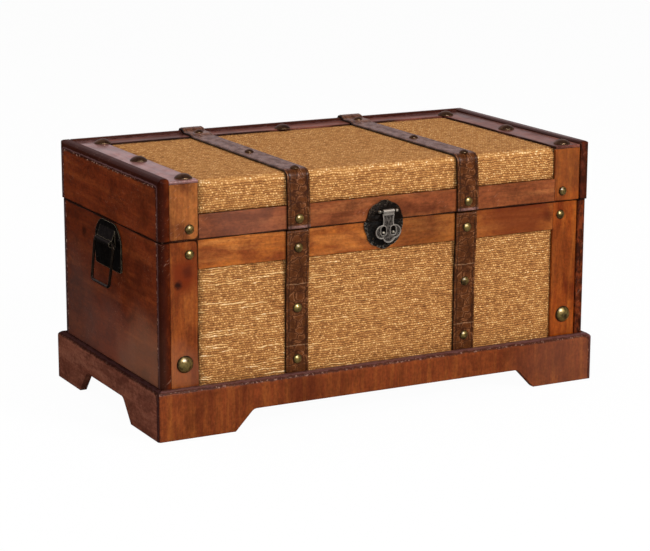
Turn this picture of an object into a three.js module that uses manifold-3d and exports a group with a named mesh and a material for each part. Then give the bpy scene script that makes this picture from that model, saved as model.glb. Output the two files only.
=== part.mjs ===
// Sea chest: a small wooden trunk on a plinth with bracket feet. Its front and lid are covered in
// woven cloth between wooden battens, two leather straps run over the lid, and a hasp latch,
// two drop handles, two hinges and a sliding lid stay are its working parts.
// Millimetres. X runs along the front, Y from the front to the back, Z up, with the floor at zero.
import * as THREE from 'three';
import { mergeVertices } from 'three/addons/utils/BufferGeometryUtils.js';
import Module from 'manifold-3d';

const wasm = await Module();
wasm.setup();

// Clearances and modelling values
const seatGap = 0.3;          // between pieces that touch
const overrun = 1;            // how far a cutting shape runs past what it cuts
const arcStep = Math.PI / 8;  // the turn that one facet of an arc takes
const edgeRound = 0.8;        // worn edge of the battens
const mergeDistance = 0.0001;

// The box, over its end boards
const bodyWidth = 560.6;
const bodyDepth = 294;
const bodyBottom = 28;
const bodyTop = 223.8;
const endThickness = 12;
const wallThickness = 10;
const endOuterRound = 5;      // front and back edges of the end boards
const endInnerRound = 2;
const meetingRound = 1.2;     // edges where the lid meets the box
const backInset = 1;          // back boards behind the end boards' edges
const bottomThickness = 6;
const bottomHeight = 34;      // underside of the bottom board
const grooveDepth = 4;        // groove that holds the bottom board

// The lid, which stands a little proud of the box all round
const lidGap = 0.8;
const lidOverhangEnds = 0.8;
const lidOverhangFront = 2.4;
const lidHeight = 70.6;       // up to the top of the raised rims
const rimRise = 3.5;          // rims above the top battens
const rimRound = 5;
const rimInnerRound = 3;
const rimCorner = 6;
const lidTopThickness = 9;
const lidEdgeRound = 5;       // front edge of the lid's top, under the cloth

// Battens, cloth and straps on the front and the lid
const edgeProud = 2.3;        // end boards in front of the battens
const battenThickness = 4;
const topBattenThickness = 3.4;
const stileWidth = 34;
const bodyRailHeight = 33.8;
const lidRailHeight = 27.4;
const backRailWidth = 24.2;
const clothThickness = 1.2;
const strapThickness = 3;
const strapWidth = 29;
const strapEdge = 1.1;        // chamfer along a strap's edges
const strapPlaceShare = 0.396; // strap centres, as a share of the way from the middle to the end
const strapEndGap = 0.6;      // strap ends from the meeting edges
const strapStepRun = 6;       // length in which a strap climbs onto a rail
const strapStepRound = 6;
const strapRampRun = 40;      // long slope from the cloth up to the rail of the box
const strapRampLead = 2;      // slope ends above the rail's lower edge
const strapRampRound = 40;
const strapTailLength = 36;   // strap down the back of the lid
const strapTuck = 6;          // strap below the top of the plinth

// The plinth
const plinthThickness = 8;
const plinthHeight = 57.8;
const plinthTopRound = 7.5;
const plinthCornerRound = 3;
const frontApronHeight = 24;
const sideApronHeight = 27;
const footSlantRun = 23;
const apronRound = 8;
const frontLeftFoot = 94.5;
const frontRightFoot = 84;
const sideFrontFoot = 80;
const sideBackFoot = 74;

// Dome nails
const smallNail = { radius: 5.5, height: 3.5 };
const largeNail = { radius: 10, height: 5.5 };
const nailLip = 0.5;
const nailSides = 16;
const nailRings = 4;
const nailSink = 0.6;         // nails that are one piece with a strap
const stileNailInset = 36;     // from the faces of the end boards
const largeNailInset = 29;
const stileNailDrop = 16;      // below the top of the box
const largeNailRise = 25.7;    // above the plinth
const lidNailRise = 12.2;      // above the bottom of the lid
const strapNails = {
  left: { drop: 20.8, middleShare: 0.45, rise: 14.7 },
  right: { drop: 18.3, middleShare: 0.495, rise: 16.2 },
};
const topNails = {
  left: { backInset: 42.6, middleInset: 34.6, frontInset: 35.6 },
  right: { backInset: 41.6, middleInset: 30.6, frontInset: 29.6 },
};
const topNailFromFront = 16;
const topNailFromBack = 31.4;
const topNailMiddleShare = 0.464;
const strapNailFromFront = 11.4;
const strapNailFromBack = 29;
const strapNailMiddleShare = 0.43;
const backRailNailPlace = 2.5;

// The latch
const latchWidth = 51;
const latchHeight = 58;
const latchLow = 4.5;         // centre of the round plate below the top of the box
const latchSheet = 1.2;
const latchDome = 3;
const latchSegments = 48;
const latchRings = 4;
const lobeCount = 8;
const lobeSteps = 6;
const lobeNotch = 1.5;        // notches between the lobes of the plate's edge
const haspPinRise = 11.4;     // pin above the bottom of the lid
const haspPinStandOff = 8.1;  // pin axis in front of the lid rail
const haspPinRadius = 1.1;
const haspPlace = 1;          // the hasp hangs a little right of the plate's middle
const haspBallRadius = 2.1;
const haspBallPlace = 11.1;   // ball centres from the hasp's middle
const haspBoreClearance = 0.3;
const haspBarrelRadius = 2.4;
const haspBarrelLength = 14.4;
const haspLugThickness = 1.2;
const haspThickness = 1.6;
const haspRelief = 0.4;       // face of the hasp inside its raised border
const haspBorder = 1.3;
const haspNeckDrop = 3.3;     // the neck widens below the lugs
const haspNeckTop = 8;        // half widths of the neck
const haspNeckWaist = 6.6;
const haspLobe = { place: 8.6, drop: 24, radius: 8 };
const haspNose = { place: 0.8, drop: 28.7, radius: 8.5 };
const haspHole = { place: 6.3, drop: 22.6, width: 6.7, height: 10.6 };
const haspHoleRim = 0.9;
const studRadius = 1.1;
const studBallRadius = 1.75;
const studDrop = 24.8;        // studs below the pin

// The drop handles
const handlePlateWidth = 78;
const handleTopInset = 1.3;   // plate below the top of the box
const handlePlateHeight = 55;
const handleShoulder = 16;    // arched top above the plate's sides
const handleSheet = 1.5;
const handleCorner = 4;
const handlePivotDrop = 23.5; // pivot below the top of the plate
const handleStandOff = 6;     // pivot axis in front of the end board
const handleRollWidth = 44;
const handleRollRadius = 3.8;
const bailRadius = 2;
const bailClearance = 0.4;
const bailTopHalf = 29;
const bailBottomHalf = 26;
const bailDrop = 49;
const bailCorner = 5;
const bailTilt = THREE.MathUtils.degToRad(7);
const bailSides = 8;

// The hinges
const hingeFromEnd = 110;
const hingeWidth = 44;
const hingeLeafHeight = 26;
const hingeSheet = 1.5;
const hingeBarrelRadius = 3;
const hingePinRadius = 1.5;
const hingePinProud = 1.2;
const hingeClearance = 0.3;
const hingeCrank = 4;         // height in which the lower leaf bends out to its knuckles

// The lid stay: a slotted arm that hangs from the lid and slides on a stud in the box
const stayRadiusShare = 0.5985; // pivot and stud from the hinge axis, of the height inside the box
const stayRiseShare = 0.434;  // pivot above the hinge axis, of the room under the lid
const lidOpening = THREE.MathUtils.degToRad(95);
const stayThickness = 2;
const stayHalfWidth = 7;
const stayPostRadius = 2.2;
const stayHeadRadius = 4.5;
const stayHeadThickness = 1.5;
const stayStandOff = 3.3;     // arm in from the end board
const staySlotEnd = 0.5;      // slot past the stud at each end of its travel

// Worked-out sizes
const bodyHalfWidth = bodyWidth / 2;
const bodyHalfDepth = bodyDepth / 2;
const lidHalfWidth = bodyHalfWidth + lidOverhangEnds;
const lidHalfDepth = bodyHalfDepth + lidOverhangFront;
const lidBottom = bodyTop + lidGap;
const rimTop = lidBottom + lidHeight;
const battenTop = rimTop - rimRise;
const lidBoardTop = battenTop - topBattenThickness - seatGap;
const lidBoardBottom = lidBoardTop - lidTopThickness;
const bodyEndInner = bodyHalfWidth - endThickness;
const lidEndInner = lidHalfWidth - endThickness;
const stileInner = bodyEndInner - seatGap - stileWidth;
const lidRailTop = lidBottom + lidRailHeight;
const bodyRailBottom = bodyTop - bodyRailHeight;
const plinthHalfWidth = bodyHalfWidth + seatGap + plinthThickness;
const plinthHalfDepth = bodyHalfDepth + seatGap + plinthThickness;
const backFace = { body: bodyHalfDepth - backInset, lid: lidHalfDepth - backInset };
const backRailFront = backFace.lid - wallThickness - seatGap - backRailWidth;
const lidBackInner = backFace.lid - wallThickness;
const front = { body: frontLevels(bodyHalfDepth), lid: frontLevels(lidHalfDepth) };
const hingeAxis = {
  y: backFace.lid + seatGap + hingeBarrelRadius,
  z: (bodyTop + lidBottom) / 2,
};
const latchMiddle = bodyTop - latchLow;
const haspPinDepth = front.lid.batten - haspPinStandOff;
const haspPinHeight = lidBottom + haspPinRise;
const handlePlateTop = bodyTop - handleTopInset;
const handlePivotHeight = handlePlateTop - handlePivotDrop;
const hingePlace = bodyHalfWidth - hingeFromEnd;
const strapPlace = bodyHalfWidth * strapPlaceShare;
const stayRadius = (bodyTop - bottomHeight - bottomThickness) * stayRadiusShare;
const stayRise = (lidBoardBottom - hingeAxis.z) * stayRiseShare;
const stayAngle = Math.asin(stayRise / stayRadius);
const lidNailHeight = lidBottom + lidNailRise;

// A place on the lid's top, as a share of the way from the front to the back
function alongLid(share) {
  return lidHalfDepth * (2 * share - 1);
}

// The depth of each layer on the front, counted from the edge of the end boards
function frontLevels(halfDepth) {
  const batten = edgeProud - halfDepth;
  const board = batten + battenThickness + seatGap;
  return { batten, board, cloth: board - seatGap - clothThickness };
}

// Finishes
const finish = (color, roughness, metalness = 0) =>
  new THREE.MeshStandardMaterial({ color, roughness, metalness });
const endWood = finish(0x4a2012, 0.4);
const battenWood = finish(0x8a4a22, 0.38);
const plinthWood = finish(0x6d361c, 0.42);
const innerWood = finish(0x5c3a22, 0.7);
const cloth = finish(0xb98545, 0.85);
const leather = finish(0x4b2c1e, 0.5);
const brass = finish(0x8d7a45, 0.35, 1);
const bronze = finish(0x2b2a26, 0.45, 1);
const steel = finish(0x77705f, 0.4, 1);

// Geometry helpers

// Points of an outline or a path whose corners [u, v, radius] are rounded
function roundCorners(corners, closed = true) {
  const places = corners.map(([u, v]) => new THREE.Vector2(u, v));
  const count = places.length;
  return places.flatMap((here, i) => {
    const radius = corners[i][2] ?? 0;
    const atEnd = !closed && (i === 0 || i === count - 1);
    if (atEnd || radius === 0) return [here];
    const toBefore = places[(i + count - 1) % count].clone().sub(here).normalize();
    const toAfter = places[(i + 1) % count].clone().sub(here).normalize();
    const opening = Math.acos(THREE.MathUtils.clamp(toBefore.dot(toAfter), -1, 1));
    const turn = Math.PI - opening;
    const centre = toBefore.clone().add(toAfter).setLength(radius / Math.sin(opening / 2)).add(here);
    const start = toBefore.clone().multiplyScalar(radius * Math.tan(turn / 2)).add(here);
    const side = Math.sign(toAfter.cross(toBefore)) || 1;
    const steps = Math.max(1, Math.round(turn / arcStep));
    return Array.from({ length: steps + 1 }, (_, k) =>
      start.clone().rotateAround(centre, side * turn * k / steps));
  });
}

// Straight prisms of a flat outline: along X it is drawn in (y, z), along Y in (x, z), along Z in (x, y)
const axisX = new THREE.Vector3(1, 0, 0);
const axisY = new THREE.Vector3(0, 1, 0);
const axisZ = new THREE.Vector3(0, 0, 1);

function extrude(points, length) {
  return new THREE.ExtrudeGeometry(new THREE.Shape(points), { depth: length, bevelEnabled: false });
}

function alongX(points, from, to) {
  const turned = new THREE.Matrix4().makeBasis(axisY, axisZ, axisX).setPosition(from, 0, 0);
  return solid(extrude(points, to - from).applyMatrix4(turned));
}

function alongY(points, from, to) {
  const turned = new THREE.Matrix4().makeBasis(axisX, axisZ, axisY.clone().negate());
  return solid(extrude(points, to - from).applyMatrix4(turned.setPosition(0, to, 0)));
}

function alongZ(points, from, to) {
  return solid(extrude(points, to - from).translate(0, 0, from));
}

function rectangle(left, low, right, high, radius = 0) {
  return roundCorners([
    [left, low, radius], [right, low, radius],
    [right, high, radius], [left, high, radius],
  ]);
}

function circle(u, v, radius, sides = 20) {
  return Array.from({ length: sides }, (_, k) => {
    const angle = 2 * Math.PI * k / sides;
    return new THREE.Vector2(u + radius * Math.cos(angle), v + radius * Math.sin(angle));
  });
}

// A turned piece: the profile gives [radius, place] along the axis
function turned(profile, axis, sides = 16) {
  const points = profile.map(([radius, place]) => new THREE.Vector2(radius, place));
  const spin = new THREE.Quaternion().setFromUnitVectors(axisY, axis);
  return new THREE.LatheGeometry(points, sides).applyQuaternion(spin);
}

// Part of a ball's outline, between two angles counted from its lowest point
function ballArc(centre, radius, fromAngle, toAngle, steps = 5) {
  return Array.from({ length: steps + 1 }, (_, k) => {
    const angle = fromAngle + (toAngle - fromAngle) * k / steps;
    return [radius * Math.sin(angle), centre - radius * Math.cos(angle)];
  });
}

// A section swept along a flat path. The path is drawn in (y, z) and the section in
// [x, rise], where rise is measured to the left of the path's direction.
function sweep(path, section, closed = false) {
  const count = path.length;
  const sides = section.length;
  const positions = [];
  path.forEach((here, i) => {
    const before = closed ? path[(i + count - 1) % count] : path[Math.max(i - 1, 0)];
    const after = closed ? path[(i + 1) % count] : path[Math.min(i + 1, count - 1)];
    const into = here.clone().sub(before).normalize();
    const out = after.clone().sub(here).normalize();
    const along = into.clone().add(out).normalize();
    const stretch = into.lengthSq() && out.lengthSq() ? 1 / along.dot(out) : 1;
    for (const [x, rise] of section) {
      positions.push(x, here.x - along.y * rise * stretch, here.y + along.x * rise * stretch);
    }
  });
  const index = [];
  const rings = closed ? count : count - 1;
  for (let i = 0; i < rings; i++) {
    for (let j = 0; j < sides; j++) {
      const a = i * sides + j;
      const b = i * sides + (j + 1) % sides;
      const c = ((i + 1) % count) * sides + j;
      const d = ((i + 1) % count) * sides + (j + 1) % sides;
      index.push(a, c, b, b, c, d);
    }
  }
  if (!closed) {
    const flat = section.map(([x, rise]) => new THREE.Vector2(x, rise));
    const last = (count - 1) * sides;
    for (const [a, b, c] of THREE.ShapeUtils.triangulateShape(flat, [])) {
      index.push(a, b, c, last + a, last + c, last + b);
    }
  }
  const geometry = new THREE.BufferGeometry();
  geometry.setAttribute('position', new THREE.Float32BufferAttribute(positions, 3));
  geometry.setIndex(index);
  return geometry;
}

function solid(geometry) {
  const bare = geometry.clone();
  bare.deleteAttribute('normal');
  bare.deleteAttribute('uv');
  const merged = mergeVertices(bare, mergeDistance);
  return new wasm.Manifold(new wasm.Mesh({
    numProp: 3,
    vertProperties: merged.getAttribute('position').array,
    triVerts: new Uint32Array(merged.getIndex().array),
  }));
}

const chest = new THREE.Group();

function place(name, shape, material, placement = new THREE.Matrix4()) {
  const { vertProperties, triVerts } = shape.getMesh();
  const geometry = new THREE.BufferGeometry();
  geometry.setAttribute('position', new THREE.BufferAttribute(vertProperties, 3));
  geometry.setIndex(new THREE.BufferAttribute(triVerts, 1));
  const mesh = new THREE.Mesh(geometry, material);
  mesh.name = name;
  mesh.applyMatrix4(placement);
  chest.add(mesh);
}

// A piece made for the right side stands on the left as its half-turned copy
const sides = [['left', -1], ['right', 1]];
const halfTurn = new THREE.Matrix4().makeRotationZ(Math.PI);
const onSide = (sign) => (sign > 0 ? new THREE.Matrix4() : halfTurn);

// Plinth: four mitred boards with a rounded top edge and bracket feet
function plinthBoard(halfLength, outerFace, leftFoot, rightFoot, apronHeight) {
  const inner = outerFace - plinthThickness;
  const bar = alongX(roundCorners([
    [-outerFace, 0], [-inner, 0], [-inner, plinthHeight], [-outerFace, plinthHeight, plinthTopRound],
  ]), -halfLength, halfLength);
  const mitre = halfLength - seatGap / Math.SQRT2;
  const plan = roundCorners([
    [-mitre, -outerFace], [mitre, -outerFace],
    [mitre - plinthThickness, -inner], [plinthThickness - mitre, -inner],
  ]);
  const corners = rectangle(-halfLength, -outerFace, halfLength, outerFace, plinthCornerRound);
  const slope = footSlantRun / apronHeight;
  const notch = alongY(roundCorners([
    [leftFoot - halfLength - slope * overrun, -overrun],
    [leftFoot - halfLength + footSlantRun, apronHeight, apronRound],
    [halfLength - rightFoot - footSlantRun, apronHeight, apronRound],
    [halfLength - rightFoot + slope * overrun, -overrun],
  ]), -outerFace - overrun, overrun - inner);
  return bar
    .intersect(alongZ(plan, 0, plinthHeight))
    .intersect(alongZ(corners, 0, plinthHeight))
    .subtract(notch);
}

function makePlinth() {
  const frontBoard = plinthBoard(
    plinthHalfWidth, plinthHalfDepth, frontLeftFoot, frontRightFoot, frontApronHeight,
  );
  const leftBoard = plinthBoard(
    plinthHalfDepth, plinthHalfWidth, sideBackFoot, sideFrontFoot, sideApronHeight,
  );
  const rightBoard = plinthBoard(
    plinthHalfDepth, plinthHalfWidth, sideFrontFoot, sideBackFoot, sideApronHeight,
  );
  place('plinth_front', frontBoard, plinthWood);
  place('plinth_back', frontBoard, plinthWood, halfTurn);
  place('plinth_left', leftBoard, plinthWood, new THREE.Matrix4().makeRotationZ(-Math.PI / 2));
  place('plinth_right', rightBoard, plinthWood, new THREE.Matrix4().makeRotationZ(Math.PI / 2));
}

// Box: two end boards, a front and a back board, and a bottom board in grooves
function endPlan(inner, outer, halfDepth) {
  return roundCorners([
    [inner, -halfDepth, endInnerRound], [outer, -halfDepth, endOuterRound],
    [outer, halfDepth, endOuterRound], [inner, halfDepth, endInnerRound],
  ]);
}

function makeBox() {
  const bottomReach = grooveDepth - seatGap;
  const grooveLow = bottomHeight - seatGap;
  const grooveHigh = bottomHeight + bottomThickness + seatGap;
  const frontInner = front.body.board + wallThickness;
  const backInner = backFace.body - wallThickness;

  const board = alongZ(endPlan(bodyEndInner, bodyHalfWidth, bodyHalfDepth), bodyBottom, bodyTop);
  const section = alongY(roundCorners([
    [bodyEndInner, bodyBottom], [bodyHalfWidth, bodyBottom],
    [bodyHalfWidth, bodyTop, meetingRound], [bodyEndInner, bodyTop],
  ]), -bodyHalfDepth, bodyHalfDepth);
  const groove = alongY(
    rectangle(bodyEndInner - overrun, grooveLow, bodyEndInner + grooveDepth, grooveHigh),
    frontInner - grooveDepth, backInner + grooveDepth,
  );
  const end = board.intersect(section).subtract(groove);
  for (const [side, sign] of sides) {
    const mirrored = sign > 0 ? end : end.mirror([1, 0, 0]);
    place(`body_${side}_end`, mirrored, endWood);
  }

  const length = bodyEndInner - seatGap;
  const grooved = (outer, inner, groovedTo) => alongX(roundCorners([
    [outer, bodyBottom], [inner, bodyBottom], [inner, grooveLow], [groovedTo, grooveLow],
    [groovedTo, grooveHigh], [inner, grooveHigh], [inner, bodyTop], [outer, bodyTop],
  ]), -length, length);
  place('body_front_board', grooved(front.body.board, frontInner, frontInner - grooveDepth), innerWood);
  place('body_back_board', grooved(backFace.body, backInner, backInner + grooveDepth), endWood);

  const bottomPlan = rectangle(
    -bodyEndInner - bottomReach, frontInner - bottomReach,
    bodyEndInner + bottomReach, backInner + bottomReach,
  );
  place('bottom_board', alongZ(bottomPlan, bottomHeight, bottomHeight + bottomThickness), innerWood);
}

// Battens and cloth on the front of the box
function upright(left, right, face, low, high) {
  const back = face + battenThickness;
  return alongZ(roundCorners([
    [left, face, edgeRound], [right, face, edgeRound], [right, back], [left, back],
  ]), low, high);
}

function crossRail(halfLength, face, low, high) {
  const back = face + battenThickness;
  return alongX(roundCorners([
    [face, low, edgeRound], [back, low], [back, high], [face, high, edgeRound],
  ]), -halfLength, halfLength);
}

function makeBoxFront() {
  const stile = upright(stileInner, stileInner + stileWidth, front.body.batten, bodyBottom, bodyTop);
  place('body_right_stile', stile, battenWood);
  place('body_left_stile', stile.mirror([1, 0, 0]), battenWood);
  const between = stileInner - seatGap;
  place('body_top_rail', crossRail(between, front.body.batten, bodyRailBottom, bodyTop), battenWood);
  const clothBack = front.body.cloth + clothThickness;
  const panel = rectangle(front.body.cloth, bodyBottom, clothBack, bodyRailBottom - seatGap);
  place('body_front_cloth', alongX(panel, -between, between), cloth);
}

// Lid: end boards with raised, rounded rims, a front, back and top board
function makeLidBoards() {
  const section = alongY(roundCorners([
    [lidEndInner, lidBottom], [lidHalfWidth, lidBottom, meetingRound],
    [lidHalfWidth, rimTop, rimRound], [lidEndInner, rimTop, rimInnerRound],
  ]), -lidHalfDepth, lidHalfDepth);
  const outline = alongX(roundCorners([
    [-lidHalfDepth, lidBottom, meetingRound], [lidHalfDepth, lidBottom, meetingRound],
    [lidHalfDepth, rimTop, rimCorner], [-lidHalfDepth, rimTop, rimCorner],
  ]), lidEndInner, lidHalfWidth);
  const plan = alongZ(endPlan(lidEndInner, lidHalfWidth, lidHalfDepth), lidBottom, rimTop);
  const end = section.intersect(outline).intersect(plan);
  place('lid_right_end', end, endWood);
  place('lid_left_end', end.mirror([1, 0, 0]), endWood);

  const length = lidEndInner - seatGap;
  const face = front.lid.board;
  const frontPanel = rectangle(face, lidBottom, face + wallThickness, lidBoardBottom - seatGap);
  place('lid_front_board', alongX(frontPanel, -length, length), innerWood);
  place('lid_top_board', alongX(roundCorners([
    [face, lidBoardBottom], [lidBackInner - seatGap, lidBoardBottom],
    [lidBackInner - seatGap, lidBoardTop], [face, lidBoardTop, lidEdgeRound],
  ]), -length, length), innerWood);
  place('lid_back_board', alongX(roundCorners([
    [lidBackInner, lidBottom], [backFace.lid, lidBottom],
    [backFace.lid, rimTop, rimRound], [lidBackInner, rimTop, rimInnerRound],
  ]), -length, length), endWood);
}

function makeLidCovering() {
  const stile = upright(stileInner, lidEndInner - seatGap, front.lid.batten, lidBottom, lidBoardTop);
  place('lid_right_stile', stile, battenWood);
  place('lid_left_stile', stile.mirror([1, 0, 0]), battenWood);
  const between = stileInner - seatGap;
  place('lid_front_rail', crossRail(between, front.lid.batten, lidBottom, lidRailTop), battenWood);

  const stripLow = lidBoardTop + seatGap;
  const strip = alongY(roundCorners([
    [stileInner, stripLow], [lidEndInner - seatGap, stripLow],
    [lidEndInner - seatGap, battenTop, edgeRound], [stileInner, battenTop, edgeRound],
  ]), front.lid.batten, lidBackInner - seatGap);
  const stripSide = alongX(roundCorners([
    [front.lid.batten, stripLow], [lidBackInner - seatGap, stripLow],
    [lidBackInner - seatGap, battenTop], [front.lid.batten, battenTop, topBattenThickness / 2],
  ]), stileInner, lidEndInner - seatGap);
  const topStrip = strip.intersect(stripSide);
  place('lid_right_top_strip', topStrip, battenWood);
  place('lid_left_top_strip', topStrip.mirror([1, 0, 0]), battenWood);
  place('lid_back_rail', alongX(roundCorners([
    [backRailFront, stripLow], [lidBackInner - seatGap, stripLow],
    [lidBackInner - seatGap, battenTop], [backRailFront, battenTop, edgeRound],
  ]), -between, between), battenWood);

  const lying = lidBoardTop + seatGap;
  const path = roundCorners([
    [front.lid.board - seatGap, lidRailTop + seatGap],
    [front.lid.board - seatGap, lying, lidEdgeRound + seatGap],
    [backRailFront - seatGap, lying],
  ], false);
  const section = [[-between, 0], [between, 0], [between, clothThickness], [-between, clothThickness]];
  place('lid_cloth', solid(sweep(path, section)), cloth);
}

// Dome nails, flat underneath
function dome({ radius, height }, sink = 0) {
  const rise = height - nailLip;
  const ball = (radius * radius + rise * rise) / (2 * rise);
  const reach = Math.asin(radius / ball);
  const cap = ballArc(height - ball, ball, Math.PI - reach, Math.PI, nailRings);
  return [[0, -sink], [radius, -sink], ...cap];
}

function frontNail(size, x, face, z, sink = 0) {
  const lift = sink ? 0 : seatGap;
  return solid(turned(dome(size, sink), axisY.clone().negate(), nailSides).translate(x, face - lift, z));
}

function topNail(size, x, y, face, sink = 0) {
  const lift = sink ? 0 : seatGap;
  return solid(turned(dome(size, sink), axisZ, nailSides).translate(x, y, face + lift));
}

function makeNails() {
  for (const [side, sign] of sides) {
    const bodyX = sign * (bodyHalfWidth - stileNailInset);
    const lidX = sign * (lidHalfWidth - stileNailInset);
    const largeX = sign * (bodyHalfWidth - largeNailInset);
    const { batten } = front.body;
    place(`body_${side}_stile_nail`, frontNail(smallNail, bodyX, batten, bodyTop - stileNailDrop), brass);
    const largeZ = plinthHeight + largeNailRise;
    place(`body_${side}_large_nail`, frontNail(largeNail, largeX, batten, largeZ), brass);
    place(`lid_${side}_stile_nail`, frontNail(smallNail, lidX, front.lid.batten, lidNailHeight), brass);
    const { backInset: backX, middleInset, frontInset } = topNails[side];
    const ontoStrip = (inset, depth) => topNail(largeNail, sign * (lidHalfWidth - inset), depth, battenTop);
    place(`lid_${side}_back_nail`, ontoStrip(backX, lidHalfDepth - topNailFromBack), brass);
    place(`lid_${side}_middle_nail`, ontoStrip(middleInset, alongLid(topNailMiddleShare)), brass);
    place(`lid_${side}_front_nail`, ontoStrip(frontInset, topNailFromFront - lidHalfDepth), brass);
  }
  const backRailNail = topNail(largeNail, backRailNailPlace, lidHalfDepth - topNailFromBack, battenTop);
  place('lid_back_rail_nail', backRailNail, brass);
}

// Straps, each with its own dome nails
const strapSection = [
  [-strapWidth / 2, 0], [strapWidth / 2, 0],
  [strapWidth / 2, strapThickness - strapEdge], [strapWidth / 2 - strapEdge, strapThickness],
  [strapEdge - strapWidth / 2, strapThickness], [-strapWidth / 2, strapThickness - strapEdge],
];

function bodyStrap(side, x) {
  const onRail = front.body.batten - seatGap;
  const onCloth = front.body.cloth - seatGap;
  const path = roundCorners([
    [onCloth, plinthHeight - strapTuck],
    [onCloth, bodyRailBottom - strapRampRun, strapRampRound],
    [onRail, bodyRailBottom + strapRampLead, strapRampRound],
    [onRail, bodyTop - strapEndGap],
  ], false);
  const band = solid(sweep(path, strapSection).translate(x, 0, 0));
  const { drop, middleShare, rise } = strapNails[side];
  const middle = THREE.MathUtils.lerp(plinthHeight, bodyTop, middleShare);
  return band
    .add(frontNail(smallNail, x, onRail - strapThickness, bodyTop - drop, nailSink))
    .add(frontNail(smallNail, x, onCloth - strapThickness, middle, nailSink))
    .add(frontNail(smallNail, x, onCloth - strapThickness, plinthHeight + rise, nailSink));
}

function lidStrap(x) {
  const onRail = front.lid.batten - seatGap;
  const onCloth = front.lid.cloth - seatGap;
  const onTop = lidBoardTop + seatGap + clothThickness + seatGap;
  const onBackRail = battenTop + seatGap;
  const onRim = rimTop + seatGap;
  const behind = backFace.lid + seatGap;
  const path = roundCorners([
    [onRail, lidBottom + strapEndGap],
    [onRail, lidRailTop, strapRampRound],
    [onCloth, onTop, lidEdgeRound + clothThickness + 2 * seatGap],
    [backRailFront - strapStepRun, onTop, strapStepRound],
    [backRailFront, onBackRail, strapStepRound],
    [lidBackInner - strapStepRun, onBackRail, strapStepRound],
    [lidBackInner, onRim, strapStepRound / 2],
    [behind, onRim, rimRound],
    [behind, onRim - strapTailLength],
  ], false);
  const band = solid(sweep(path, strapSection).translate(x, 0, 0));
  const topSurface = onTop + strapThickness;
  const railSurface = onBackRail + strapThickness;
  return band
    .add(frontNail(smallNail, x, onRail - strapThickness, lidNailHeight, nailSink))
    .add(topNail(smallNail, x, strapNailFromFront - lidHalfDepth, topSurface, nailSink))
    .add(topNail(smallNail, x, alongLid(strapNailMiddleShare), topSurface, nailSink))
    .add(topNail(smallNail, x, lidHalfDepth - strapNailFromBack, railSurface, nailSink));
}

function makeStraps() {
  for (const [side, sign] of sides) {
    place(`body_${side}_strap`, bodyStrap(side, sign * strapPlace), leather);
    place(`lid_${side}_strap`, lidStrap(sign * strapPlace), leather);
  }
}

// Latch: a dished round plate with a lobed edge, split where the lid meets the box
function latchPlate(seat, low, high) {
  const radius = latchHeight / 2;
  const steps = Array.from({ length: latchRings + 1 }, (_, k) => k / latchRings);
  const rise = (share) => latchDome * (1 - share * share);
  const under = steps.map((share) => [radius * share, rise(share)]);
  const over = steps.map((share) => [radius * share, rise(share) + latchSheet]).reverse();
  const dish = turned([...under, ...over], axisY.clone().negate(), latchSegments)
    .scale(latchWidth / latchHeight, 1, 1).translate(0, seat, latchMiddle);
  const edge = Array.from({ length: lobeSteps * lobeCount }, (_, k) => {
    const angle = 2 * Math.PI * k / (lobeSteps * lobeCount);
    const dip = lobeNotch * (1 - Math.abs(Math.cos(lobeCount * angle / 2)));
    const across = (latchWidth / 2 - dip) * Math.sin(angle);
    return new THREE.Vector2(across, latchMiddle + (radius - dip) * Math.cos(angle));
  });
  const reach = latchSheet + latchDome + overrun;
  return solid(dish)
    .intersect(alongY(edge, seat - reach, seat + overrun))
    .intersect(alongY(rectangle(-latchWidth, low, latchWidth, high), seat - reach, seat + overrun));
}

function haspBore(halfLength) {
  const bore = circle(haspPinDepth, haspPinHeight, haspPinRadius + haspBoreClearance);
  return alongX(bore, -halfLength, halfLength);
}

function makeLatchPlates() {
  const upperSeat = front.lid.batten - seatGap;
  const upper = latchPlate(upperSeat, lidBottom, lidBottom + latchHeight);
  const lugInner = haspBarrelLength / 2 + seatGap;
  const lugHeight = haspBarrelRadius + haspBoreClearance;
  const lugSide = roundCorners([
    [haspPinDepth - haspBarrelRadius, haspPinHeight - lugHeight, haspBarrelRadius],
    [upperSeat - latchSheet, haspPinHeight - lugHeight],
    [upperSeat - latchSheet, haspPinHeight + lugHeight],
    [haspPinDepth - haspBarrelRadius, haspPinHeight + lugHeight, haspBarrelRadius],
  ]);
  const lugs = alongX(lugSide, lugInner, lugInner + haspLugThickness)
    .add(alongX(lugSide, -lugInner - haspLugThickness, -lugInner))
    .subtract(haspBore(lugInner + haspLugThickness + overrun));
  place('latch_upper_plate', upper.add(lugs.translate([haspPlace, 0, 0])), bronze);

  const lowerSeat = front.body.batten - seatGap;
  const lower = latchPlate(lowerSeat, bodyTop - latchHeight, bodyTop);
  const tipFromSeat = lowerSeat + haspBarrelRadius - haspPinDepth;
  const neckAngle = Math.asin(studRadius / studBallRadius);
  const ball = ballArc(tipFromSeat - studBallRadius, studBallRadius, neckAngle, Math.PI);
  const profile = [[0, latchSheet], [studRadius, latchSheet], ...ball];
  const studs = [-1, 1].map((sign) => solid(
    turned(profile, axisY.clone().negate(), 12)
      .translate(haspPlace + sign * haspHole.place, lowerSeat, haspPinHeight - studDrop),
  ));
  place('latch_lower_plate', lower.add(studs[0]).add(studs[1]), bronze);
}

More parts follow.
